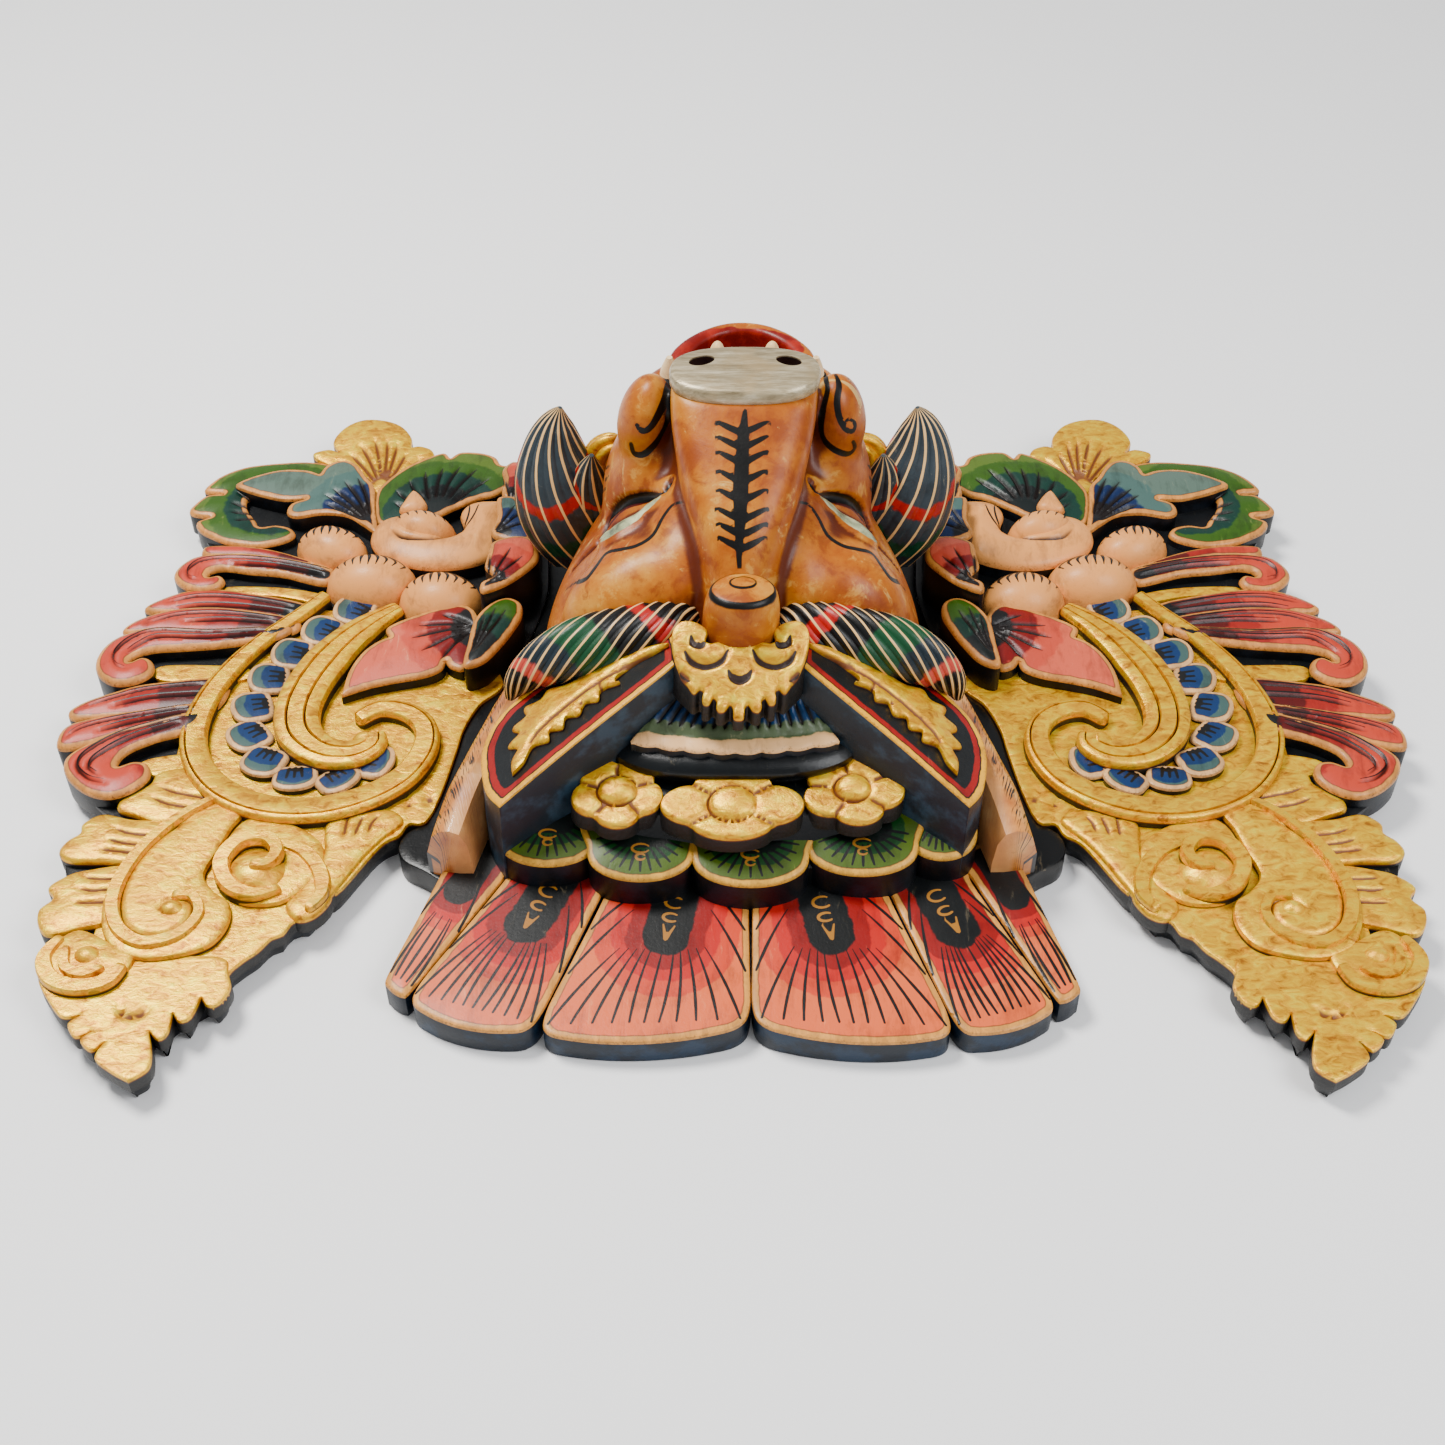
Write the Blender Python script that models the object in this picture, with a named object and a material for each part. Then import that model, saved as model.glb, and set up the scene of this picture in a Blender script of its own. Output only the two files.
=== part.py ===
"""A carved and painted wooden boar mask with two leaf-carved side wings, lying on its back.

+Z is the way the face looks, -Y the top of the head and +X the viewer's right from above the crown.
"""

import math

import bmesh
import bpy
from mathutils import Matrix, Vector

# Driving sizes, in metres
MASK_WIDTH = 0.552  # across the red leaves of both wings
PLANK_THICKNESS = 0.012  # wing plank and the block's rim, below the carving
EDGE_TAPER = 0.004  # how far the plank's outer wall slopes in towards the back
FAN_THICKNESS = 0.012  # feather fan at the top of the head
SEAM_GAP = 0.0003  # between the head block and each wing
RELIEF_ROOT = PLANK_THICKNESS * 2 / 3  # how deep a carved form is sunk into the plank
HOLLOW_WIDTH = 0.112  # the face hollow, cut in from the back
HOLLOW_LENGTH = 0.170
HOLLOW_DEPTH = 0.066
NOSTRIL_RADIUS = 0.0045
NOSTRIL_DEPTH = 0.012

# The drawing is in its own millimetres, with the mask 552 wide and its middle at MIDDLE_Y
DRAWN_WIDTH = 552.0
MIDDLE_Y = 6.5
HEAD_LEAN = 0.042  # the hand-carved head leans a little to +X as it rises
LEAN_FROM = 34
UNIT = MASK_WIDTH / DRAWN_WIDTH

# Mesh fineness
CURVE_STEPS = 1
FACE_VOXEL = 0.0034
FACE_SHARE = 0.055  # share of the face's fine triangles that is kept
FLAT_ANGLE = math.radians(0.1)
SPECK = 0.000002

# Outline pairs are (distance from the middle line, y), drawn for one wing
SEAM = [
    (100, 158), (93, 148), (86, 134), (84, 118), (83, 100), (82, 80), (84, 64), (87, 50), (90, 36),
    (97, 20), (106, 6), (111, -8), (113, -22), (117, -46), (121.5, -60),
]
PLANK_EDGE = [
    (129, -63), (137, -73), (150, -97), (158, -107), (167, -116), (175, -126), (181, -136),
    (184, -149), (190, -155), (199, -160), (204, -168), (208, -179), (213, -184), (225, -176),
    (232, -168), (240, -159), (248, -150), (254, -141), (256, -130), (254, -121), (260, -112),
    (260, -98), (258, -90), (260, -78), (254, -64), (248, -58), (254, -50), (266, -38), (268, -28),
    (273, -18), (273, -6), (270, 4), (260, 12), (266, 22), (266, 36), (260, 46), (253, 58), (250, 67),
    (244, 76), (246, 88), (240, 98), (236, 106), (242, 116), (246, 128), (245, 141), (240, 154),
    (228, 162), (214, 165), (200, 166), (196, 172), (188, 173), (184, 191), (174, 195), (163, 192),
    (154, 180), (146, 174), (140, 168), (130, 170), (118, 170), (109, 163),
]

# name: (height over the plank, slope along the distance axis, slope along y, outline)
WING_LEAVES = {
    "gold_field": (1.5, 0, 0, [
        (112, 44), (112, 0), (116, -40), (121, -57), (129, -62), (137, -72), (150, -95), (158, -105),
        (166, -112), (174, -122), (182, -133), (205, -130), (232, -120), (236, -80), (228, -40),
        (226, 0), (214, 34), (190, 64), (150, 64)]),
    "tip_leaf": (2.6, 0, 0, [
        (222, -132), (205, -129), (190, -130), (184, -138), (184, -147), (189, -151), (194, -148),
        (198, -157), (203, -155), (205, -164), (209, -163), (207, -172), (213, -184), (226, -175),
        (225, -167), (230, -170), (230, -163), (236, -165), (236, -157), (242, -157), (251, -146),
        (256, -136), (256, -127), (250, -120), (240, -119), (232, -124)]),
    "shell": (6.0, 0, 0.06, [
        (165, 143), (178, 155), (190, 164), (198, 170), (198, 174), (191, 175), (187, 173), (190, 182),
        (187, 192), (179, 197), (169, 197), (160, 193), (154, 185), (153, 177), (149, 178), (144, 175),
        (142, 169), (150, 160), (158, 150)]),
    "green_outer": (5.0, 0, 0, [
        (188, 163), (200, 167), (216, 166), (230, 163), (240, 156), (246, 147), (245, 144), (238, 143),
        (244, 141), (249, 135), (250, 130), (247, 127), (241, 126), (245, 122), (243, 116), (237, 112),
        (228, 107), (215, 105), (204, 108), (199, 113), (203, 119), (211, 121), (217, 124), (222, 131),
        (224, 141), (210, 150), (195, 153)]),
    "blue_leaf": (8.5, 0, 0, [
        (231, 145), (224, 151), (212, 156), (200, 156), (193, 154), (191, 158), (188, 162),
        (181.6, 163.4), (176, 159), (171, 150), (166, 143), (164, 128), (160.5, 111), (168, 115),
        (176, 123), (188, 124), (199, 122), (204, 125), (203, 131), (198, 135), (207, 134), (217, 137),
        (226, 141)]),
    "green_inner": (6.5, 0, 0, [
        (160, 118), (165, 130), (165, 142), (161, 152), (154, 161), (145, 168), (137, 172), (134, 168),
        (129, 172), (119, 172), (112, 168), (109, 163), (104, 161), (101, 155), (103, 148), (110, 141),
        (118, 138), (128, 130), (140, 122)]),
    "snail_body": (9.0, 0, 0, [
        (104, 131), (113, 133), (121, 131), (124, 124), (122, 114), (131, 112), (145, 124), (155, 122),
        (161, 117), (163, 107), (159, 97), (150, 91), (138, 87), (124, 87), (112, 91), (105, 98),
        (103, 113)]),
    "fan_1_top": (3.5, 0, 0, [
        (184, 92), (200, 101), (218, 106), (236, 106), (240, 101), (222, 97), (198, 92)]),
    "fan_1": (5.5, 0, 0, [
        (184, 90), (200, 96), (222, 99), (240, 97), (247, 91), (248, 83), (244, 76), (236, 74),
        (228, 75), (225, 80), (227, 86), (215, 86), (200, 84), (184, 79)]),
    "fan_2_top": (4.0, 0, 0, [
        (192, 67), (212, 74), (232, 77), (246, 73), (257, 65), (255, 61), (236, 61), (194, 57)]),
    "fan_2_mid": (5.0, 0, 0, [
        (196, 58), (220, 63), (242, 62), (256, 57), (263, 50), (262, 46), (246, 47), (198, 49)]),
    "fan_2": (6.2, 0, 0, [
        (200, 50), (225, 48), (248.3, 49.4), (261, 45), (268, 38), (270, 28), (267, 19), (260, 14),
        (251, 15), (245, 21), (247, 27), (253, 28), (252, 32), (235, 35), (218, 38), (204, 41)]),
    "fan_3_top": (4.2, 0, 0, [
        (220, 18), (245, 16), (260, 11), (271, 5), (276, -1), (272, -5), (258.4, -4.6), (240, -1),
        (222, 2)]),
    "fan_3_mid": (5.2, 0, 0, [
        (224, 3), (250, -2), (266, -6), (274, -10), (276, -17), (274, -24), (262, -21), (226, -8)]),
    "fan_3": (6.0, 0, 0, [
        (226, -3), (248, -11), (263, -22), (270, -30), (267, -39), (258, -48), (248, -51), (239, -47),
        (234, -40), (238, -33), (244, -32), (248, -34), (246, -26), (236, -19), (227, -14)]),
    "bar_1": (3.0, 0, 0, [(222, 80), (222, 75), (200, 73), (182, 69), (182, 75), (200, 79)]),
    "bar_2": (3.0, 0, 0, [(242, 28), (242, 20), (224, 19), (208, 21), (209, 27), (224, 29)]),
    "bar_3": (3.0, 0, 0, [(224, -25), (238, -27), (240, -35), (224, -34)]),
    "pink_leaf": (8.0, 0, 0.05, [
        (162, 7), (161, 19), (158, 30), (152, 37), (147, 40), (144, 48), (137, 53), (127, 58),
        (117, 60), (111, 54), (110, 40), (111, 28), (114, 22), (119, 23), (123, 21), (130, 17),
        (142, 14), (152, 11)]),
    "petal_top": (22, 0, 0, [
        (104, 131), (105, 118), (97, 112), (90, 114), (88, 120), (89, 124), (96, 126), (100, 131)]),
    "petal_blue": (21, 0, 0, [
        (106, 112), (106, 96), (103, 84), (92, 80), (88, 84), (88, 100), (90, 110), (98, 114)]),
    "petal_pink": (22, 0, 0, [
        (107, 78), (104.6, 88.4), (94, 86), (88, 78), (88, 66), (96, 56), (107, 46), (109, 56)]),
    "petal_green": (16, 0, 0, [
        (111, 10), (111, 30), (109, 46), (100, 52), (92, 48), (95, 34), (103, 18)]),
    "rim_leaf_1": (3.5, 0, 0, [
        (210, -40), (220, -33), (232, -35), (233, -43), (244, -49), (243, -55), (236, -58), (226, -62),
        (216, -58)]),
    "rim_leaf_2": (3.9, 0, 0, [
        (224, -62), (238, -60), (249, -58), (256, -63), (256, -69), (262, -77), (258, -82), (245, -82),
        (230, -80)]),
    "rim_leaf_3": (3.6, 0, 0, [
        (234, -86), (250, -87), (258, -90), (262, -96), (260, -102), (263, -108), (261, -115),
        (256, -119), (246, -116), (236, -112)]),
    "long_scroll": (5.0, 0, 0, [
        (200, -50), (215, -58), (228, -70), (236, -85), (239, -103), (236, -118), (229, -127),
        (218, -131), (204, -129), (194, -124), (190, -112), (192, -100), (200, -86), (200, -70),
        (194, -58)]),
    "root_leaf": (3.3, 0, 0, [
        (160, -62), (150, -57), (136, -55), (130, -62), (138, -72), (150, -94), (157, -104),
        (160, -90), (158, -76)]),
}

# name: (height, half widths from start to end, spine)
WING_RIBBONS = {
    "outer_arc": (7.5, [3, 4.5, 6, 6, 5, 4], [
        (175, 67), (187, 57), (201, 41), (212, 23), (219, 5), (221, -14), (216, -32), (204, -47),
        (186, -56), (166, -57), (148, -51), (134, -40), (126, -26), (126, -12), (134, -2), (146, 0),
        (156, -6)]),
    "inner_arc": (8.5, [4, 8, 10, 10, 8, 6, 5], [
        (146, 61), (158, 49), (170, 33), (178, 15), (181, -2), (177, -17), (166, -26), (154, -28),
        (147, -20)]),
    "scroll_rim": (8.0, [2, 3.2, 3.2, 3.2, 2.4], [
        (206, -54), (220, -65), (231, -82), (235, -101), (230, -117), (218, -124), (206, -119),
        (203, -108), (210, -102), (215, -107)]),
    "second_rim": (7.0, [2, 4, 4, 2], [(176, -77), (165, -80), (158, -90), (157, -102), (162, -110)]),
    "corner_rim": (6.5, [2, 3.5, 3.5, 2], [
        (250, -122), (254, -132), (250, -141), (240, -145), (229, -142), (224, -134)]),
}

# Path of the blue scales between the two arcs, and each one's size
SCALE_PATH = [
    (162, 63), (177, 50), (190, 33), (199, 13), (201, -9), (193, -28), (177, -40), (158, -40),
    (143, -31),
]
SCALE_COUNT = 9
SCALE_LENGTH = 17
SCALE_WIDTH = 17
SCALE_HEIGHT = 5

# Rounded clouds, centred on the plank's top face: (distance, y), radii, turn in degrees
WING_DOMES = {
    "snail_head": ((141, 112), (18, 13, 19), 10),
    "cloud_1": ((181, 104), (17, 12.5, 14), 20),
    "cloud_2": ((160, 80), (20.5, 15, 17), 0),
    "cloud_3": ((128, 68), (19, 15, 17), 5),
    "snail_gold": ((184, -88), (15, 15, 11), 0),
    "corner_eye": ((240, -132), (7, 6, 7), 0),
}

# Head block rim from the crown round to the chin, for one side
BLOCK_NEAR = [
    (0, -100), (60, -101), (96, -97), (110, -91), (120, -84), (128, -79), (131, -72), (129, -65),
    (124, -61),
]
BLOCK_FAR = [(92, 163), (66, 168), (34, 172), (0, 173)]

# Feathers of the crown's fan: (root middle, root half width, tip middle, tip half width)
FAN_FEATHERS = [
    ((-98, -86), 12, (-122, -142), 8.5), ((-68, -94), 20.5, (-95, -154), 25.5),
    ((-21, -98), 28.5, (-32, -161), 39.5), ((33, -98), 28, (44, -161), 39),
    ((76, -94), 19, (100, -155), 22.5), ((102, -87), 11.5, (122.5, -144), 8),
]
FAN_PULL = 14  # how far the feathers' roots reach under the tier above

# Scalloped green tier: middle of each scallop on the tier's edge and its half width
GREEN_SCALLOPS = [(-70, 20), (-34.5, 21.5), (7, 23.5), (49.5, 22.5), (80, 15)]
GREEN_TOP = 32
TIER_NEAR = -93  # y of the tier's near edge on the middle line
TIER_BEND = 0.0021  # how fast that edge runs back to both sides
FLOWERS = [(-45, -79), (0, -84), (45.5, -78)]
FLOWER_TOP = 50
FLOWER_RADIUS = 17

# Crown rings: (z, half width, near y, far y, share by which the far end is wider)
CROWN_RINGS = [
    (6, 90, -96, 0, 0), (26, 86, -96, 0, 0), (31, 74, -90, 0, 0), (46, 68, -86, 0, 0),
    (52, 57, -77, 0, 0), (60, 57, -77, 0, 0), (62, 42, -72, -4, 0), (70, 41, -74, -4, 0),
    (72, 30, -64, -8, 0), (86, 24, -50, -12, 0),
]

# Snout rings: (z, half width, near y, far y, share by which the far end is wider)
SNOUT_RINGS = [
    (60, 30, -44, 80, 0.2), (80, 25, -40, 78, 0.3), (98, 22, -34, 76, 0.3), (112, 21, -24, 74, 0.26),
    (125, 22.5, -11, 72, 0.2), (138, 26, 7, 70, 0.1), (149, 29, 26, 67, 0),
]
SNOUT_PLATE = [(147, 28, 27, 66, 0), (149, 30, 28, 68, 0), (153, 30, 29, 68, 0), (155, 28, 31, 66, 0)]

# Face body rings below the snout, wider at the near end
FACE_RINGS = [
    (8, 78, -58, 152, -0.1), (40, 73, -50, 146, -0.3), (58, 67, -38, 138, -0.38), (75, 58, -30, 128, -0.4),
    (88, 47, -20, 118, -0.36), (98, 35, -2, 104, -0.2),
]

# Rounded forms of the face, mirrored to both sides: (x, y, z), radii, turn about X, Y and Z in degrees
FACE_SIDE_FORMS = {
    "eyelid": ((39, -4, 80), (33, 21, 25), (0, 28, -20)),
    "eyeball": ((41, 13, 91), (18, 12, 14), (0, 30, -25)),
    "bridge": ((23, 20, 88), (14, 38, 24), (0, 0, 0)),
    "cheek": ((36, 60, 92), (18, 28, 34), (0, -12, 0)),
    "lip_curl": ((37, 53, 124), (11.5, 14, 19), (0, -8, 0)),
    "jowl": ((30, 79, 106), (14, 18, 24), (0, 0, 0)),
}
JAW_RINGS = [
    (50, 54, 60, 144, 0), (80, 47, 66, 138, 0), (104, 39, 70, 126, 0), (122, 31, 74, 116, 0),
    (133, 25, 78, 111, 0),
]
MOUTH_RINGS = [(98, 17, 80, 95, 0), (112, 19, 79, 99, 0), (124, 20, 78, 102, 0), (144, 20, 76, 103, 0)]
NOSTRIL_PLACE = (16.8, 52, 158)
TOOTH = ((10.5, 69, 146), (4, 4, 9))
TUSK = [((27, 76, 124), 4.5), ((30, 79, 134), 3.6), ((30, 78, 142), 1.2)]

# Brow rolls, ears and flank tufts
BROW_ROLL = [
    ((20, -8, 80), 5), ((30, -14, 80), 9), ((46, -19, 72), 14), ((62, -24, 62), 16),
    ((78, -28, 50), 13), ((90, -30, 40), 6),
]
EAR = [
    ((60, 88, 38), 15), ((73, 88, 54), 20.5), ((77, 91, 67), 18.5), ((78, 94, 80), 13.5),
    ((77, 95, 91), 7.5), ((75, 95, 100), 1.5),
]
FLANK_TUFT = ((61, 82, 62), (10, 10, 26), (0, 0, 0))
CHEEK_CURL = ((56, 97, 68), (10, 11, 14), (0, 0, 0))

# Third-eye knob and forehead medallion
KNOB_MIDDLE_Y = -33.5
KNOB_RADIUS = 14
KNOB_RANGE = (72, 115)
MEDALLION_Z = 85
MEDALLION_THICKNESS = 7
MEDALLION_MIDDLE_Y = -52
MEDALLION_SLOPE = 0.62
MEDALLION = [
    (0, -67), (4, -62), (9, -64), (11, -60), (17, -61), (19, -57), (25, -56), (27, -48), (26, -41),
    (20, -38), (12, -40), (0, -42),
]

# Black side wedges of the crown: plan outline, height at the inner end and drop per unit outwards
WEDGE = [
    (22, -50), (30, -54), (60, -72), (86, -90), (93, -78), (96, -54), (84, -36), (50, -24), (26, -32),
]
WEDGE_TOP = 103
WEDGE_DROP = 0.53
HAIR_BAND = [(84, -2), (90, -22), (97, -46), (104, -66), (109, -86)]
HAIR_BAND_HALF = [5, 7, 7.5, 7]
HAIR_BAND_TOP = 42

COLOURS = {
    "tan_lacquer": (0.62, 0.33, 0.10, 1),
    "gold_and_red_leaf": (0.70, 0.45, 0.08, 1),
}


def clear_scene():
    for obj in list(bpy.data.objects):
        bpy.data.objects.remove(obj, do_unlink=True)


def on_drawing(x, y, z):
    """A point of the drawing, in metres in the part's frame. Heights follow the drawing's scale."""
    leaning = HEAD_LEAN * max(z - LEAN_FROM, 0)
    return Vector(((x + leaning) * UNIT, (y - MIDDLE_Y) * UNIT, z * UNIT))


def over_plank(x, y, height):
    """A drawn point at a height over the plank's top face."""
    point = on_drawing(x, y, height)
    point.z += PLANK_THICKNESS
    return point


def add_object(name, bm):
    bmesh.ops.recalc_face_normals(bm, faces=bm.faces)
    bmesh.ops.triangulate(bm, faces=bm.faces)
    mesh = bpy.data.meshes.new(name)
    bm.to_mesh(mesh)
    bm.free()
    obj = bpy.data.objects.new(name, mesh)
    bpy.context.scene.collection.objects.link(obj)
    return obj


def smooth(points, closed=True, steps=CURVE_STEPS):
    """Points along a soft curve through the drawn ones."""
    count = len(points)
    spans = count if closed else count - 1
    curve = []
    for i in range(spans):
        around = [i + k for k in (-1, 0, 1, 2)]
        around = [k % count if closed else min(max(k, 0), count - 1) for k in around]
        before, start, end, after = (Vector(points[k]) for k in around)
        for step in range(steps):
            t = step / steps
            curve.append(0.5 * (
                2 * start + (end - before) * t + (2 * before - 5 * start + 4 * end - after) * t**2
                + (3 * start - before - 3 * end + after) * t**3))
    if not closed:
        curve.append(Vector(points[-1]))
    return curve


def between(values, share):
    """The value at a share of the way along a list of them."""
    place = share * (len(values) - 1)
    i = min(int(place), len(values) - 2)
    return values[i] + (values[i + 1] - values[i]) * (place - i)


def prism(name, low_points, high_points):
    """A closed solid between two outlines of as many points, each with flat ends."""
    bm = bmesh.new()
    low = [bm.verts.new(p) for p in low_points]
    high = [bm.verts.new(p) for p in high_points]
    bm.faces.new(low)
    bm.faces.new(high)
    for i in range(len(low)):
        j = (i + 1) % len(low)
        bm.faces.new((low[i], low[j], high[j], high[i]))
    return add_object(name, bm)


def skin(name, rings):
    """A closed solid through rings of points, with its end rings filled."""
    bm = bmesh.new()
    loops = [[bm.verts.new(p) for p in ring] for ring in rings]
    count = len(loops[0])
    for lower, upper in zip(loops, loops[1:]):
        for i in range(count):
            j = (i + 1) % count
            bm.faces.new((lower[i], lower[j], upper[j], upper[i]))
    bm.faces.new(loops[0])
    bm.faces.new(loops[-1])
    return add_object(name, bm)


def oval(z, half_width, near, far, egg=0, sides=20, power=2.4):
    """A level ring, rounder or squarer by its power and wider at its far end by the share egg."""
    ring = []
    for i in range(sides):
        angle = 2 * math.pi * i / sides
        across, along = math.cos(angle), math.sin(angle)
        reach = math.copysign(abs(along) ** (2 / power), along)
        x = half_width * math.copysign(abs(across) ** (2 / power), across) * (1 + egg * reach)
        y = (near + far) / 2 + (far - near) / 2 * reach
        ring.append(on_drawing(x, y, z))
    return ring


def ball(name, centre, radii, turn=(0, 0, 0), segments=12, rings=7, depth=None):
    """An ellipsoid at a point given in metres, with drawn radii, cut flat at a depth below its centre."""
    bm = bmesh.new()
    bmesh.ops.create_uvsphere(bm, u_segments=segments, v_segments=rings, radius=1)
    size = Matrix.Diagonal([*(r * UNIT for r in radii), 1])
    spin = Matrix.Identity(4)
    for axis, angle in zip("XYZ", turn):
        spin = Matrix.Rotation(math.radians(angle), 4, axis) @ spin
    bmesh.ops.transform(bm, matrix=Matrix.Translation(centre) @ spin @ size, verts=bm.verts)
    if depth:
        for vert in bm.verts:
            vert.co.z = max(vert.co.z, centre.z - depth)
    return add_object(name, bm)


def horn(name, stations, side, sides=10):
    """A round limb through drawn points of given radius."""
    points = [on_drawing(side * p[0], p[1], p[2]) for p, _ in stations]
    rings = []
    for i, (_, radius) in enumerate(stations):
        along = (points[min(i + 1, len(points) - 1)] - points[max(i - 1, 0)]).normalized()
        if not rings:
            first = along.orthogonal()
        first = (first - along * first.dot(along)).normalized()
        second = along.cross(first)
        rings.append([
            points[i] + radius * UNIT * (math.cos(a) * first + math.sin(a) * second)
            for a in (2 * math.pi * k / sides for k in range(sides))])
    return skin(name, rings)


def ribbon(name, spine, half_widths, low, high, lift=over_plank):
    """A raised band along a drawn path, with sloping sides."""
    path = smooth(spine, closed=False, steps=1)
    rings = []
    for i, point in enumerate(path):
        along = (path[min(i + 1, len(path) - 1)] - path[max(i - 1, 0)]).normalized()
        across = Vector((-along.y, along.x)) * between(half_widths, i / (len(path) - 1))
        ring = []
        for share, height in ((-1, low), (-0.72, high), (0.72, high), (1, low)):
            ring.append(lift(point.x + across.x * share, point.y + across.y * share, height))
        rings.append(ring)
    return skin(name, rings)


def evaluated(obj):
    """Replace an object's mesh with its evaluated one, modifiers applied."""
    graph = bpy.context.evaluated_depsgraph_get()
    mesh = bpy.data.meshes.new_from_object(obj.evaluated_get(graph))
    obj.modifiers.clear()
    obj.data = mesh
    return obj


def merge_flats(obj):
    """Turn the many triangles of each flat area into few."""
    bm = bmesh.new()
    bm.from_mesh(obj.data)
    bmesh.ops.dissolve_limit(bm, angle_limit=FLAT_ANGLE, verts=bm.verts, edges=bm.edges)
    bmesh.ops.dissolve_degenerate(bm, dist=SPECK, edges=bm.edges)
    bmesh.ops.triangulate(bm, faces=bm.faces)
    bm.to_mesh(obj.data)
    bm.free()


def combine(body, others, operation="UNION"):
    """Join the others to a body, or cut them from it, in one Boolean step."""
    group = bpy.data.collections.new("operands")
    bpy.context.scene.collection.children.link(group)
    for other in others:
        group.objects.link(other)
        bpy.context.scene.collection.objects.unlink(other)
    step = body.modifiers.new("step", "BOOLEAN")
    step.operation = operation
    step.solver = "EXACT"
    step.operand_type = "COLLECTION"
    step.collection = group
    evaluated(body)
    for other in others:
        bpy.data.objects.remove(other, do_unlink=True)
    bpy.data.collections.remove(group)
    merge_flats(body)
    return body


def mirrored(obj, name):
    bm = bmesh.new()
    bm.from_mesh(obj.data)
    bmesh.ops.scale(bm, vec=(-1, 1, 1), verts=bm.verts)
    bmesh.ops.reverse_faces(bm, faces=bm.faces)
    return add_object(name, bm)


def paint(obj, colour, roughness, metallic=0.0):
    material = bpy.data.materials.new(obj.name)
    material.use_nodes = True
    shader = material.node_tree.nodes["Principled BSDF"]
    shader.inputs["Base Color"].default_value = COLOURS[colour]
    shader.inputs["Roughness"].default_value = roughness
    shader.inputs["Metallic"].default_value = metallic
    obj.data.materials.clear()
    obj.data.materials.append(material)


def wing_plank():
    gap = SEAM_GAP / UNIT
    seam = [(a + gap, y) for a, y in SEAM]
    edge = seam + PLANK_EDGE
    low = [on_drawing(a, y, 0) for a, y in seam]
    for i in range(len(seam), len(edge)):
        along = (Vector(edge[(i + 1) % len(edge)]) - Vector(edge[i - 1])).normalized()
        inward = Vector((-along.y, along.x)) * EDGE_TAPER / UNIT
        low.append(on_drawing(edge[i][0] + inward.x, edge[i][1] + inward.y, 0))
    high = [over_plank(a, y, 0) for a, y in edge]
    return prism("plank", low, high)


def wing_leaf(name, height, slope_out, slope_y, outline):
    curve = smooth(outline)
    middle = sum(curve, Vector((0, 0))) / len(curve)
    root = RELIEF_ROOT / UNIT
    low = []
    high = []
    for p in curve:
        low.append(over_plank(p.x, p.y, -root))
        rise = slope_out * (p.x - middle.x) + slope_y * (p.y - middle.y)
        high.append(over_plank(p.x, p.y, height + rise))
    return prism(name, low, high)


def wing_scales():
    """Overlapping scales that point outwards from the inner arc."""
    path = smooth(SCALE_PATH, closed=False, steps=8)
    scales = []
    for i in range(SCALE_COUNT):
        place = round((i + 0.3) / SCALE_COUNT * (len(path) - 1))
        point = path[place]
        along = (path[min(place + 1, len(path) - 1)] - path[place - 1]).normalized()
        out = Vector((-along.y, along.x))
        if along.x * point.y - along.y * point.x >= 0:
            out = -out
        out = (out + along * 0.35).normalized()
        side = Vector((-out.y, out.x))
        shape = []
        for share, width in ((-0.5, 0.42), (0, 0.5), (0.3, 0.42), (0.5, 0.16)):
            shape.append((point + out * SCALE_LENGTH * share, side * SCALE_WIDTH * width))
        outline = [middle + half for middle, half in shape]
        outline += [middle - half for middle, half in reversed(shape)]
        tilt = SCALE_HEIGHT - 0.25 * (i % 2)
        low = [over_plank(p.x, p.y, -RELIEF_ROOT / UNIT + 2) for p in outline]
        high = [over_plank(p.x, p.y, tilt) for p in outline]
        scales.append(prism(f"scale_{i}", low, high))
    return scales


def make_wings():
    wing = wing_plank()
    carving = [wing_leaf(name, *leaf) for name, leaf in WING_LEAVES.items()]
    for name, (height, half_widths, spine) in WING_RIBBONS.items():
        carving.append(ribbon(name, spine, half_widths, -RELIEF_ROOT / UNIT + 1, height))
    carving += wing_scales()
    for name, ((a, y), radii, turn) in WING_DOMES.items():
        carving.append(ball(name, over_plank(a, y, 0), radii, (0, 0, turn), depth=RELIEF_ROOT * 0.6))
    combine(wing, carving)
    wing.name = "wing_right"
    left = mirrored(wing, "wing_left")
    for obj in (wing, left):
        paint(obj, "gold_and_red_leaf", 0.4, 0.3)


def both_sides(points):
    """A closed outline from one side's points, which start and end on the middle line."""
    return points + [(-x, y) for x, y in reversed(points[1:-1])]


def head_block():
    edge = both_sides(BLOCK_NEAR + SEAM[::-1] + BLOCK_FAR)
    low = [on_drawing(x, y, 0) for x, y in edge]
    high = [over_plank(x, y, 0) for x, y in edge]
    return prism("mask_head", low, high)


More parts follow.
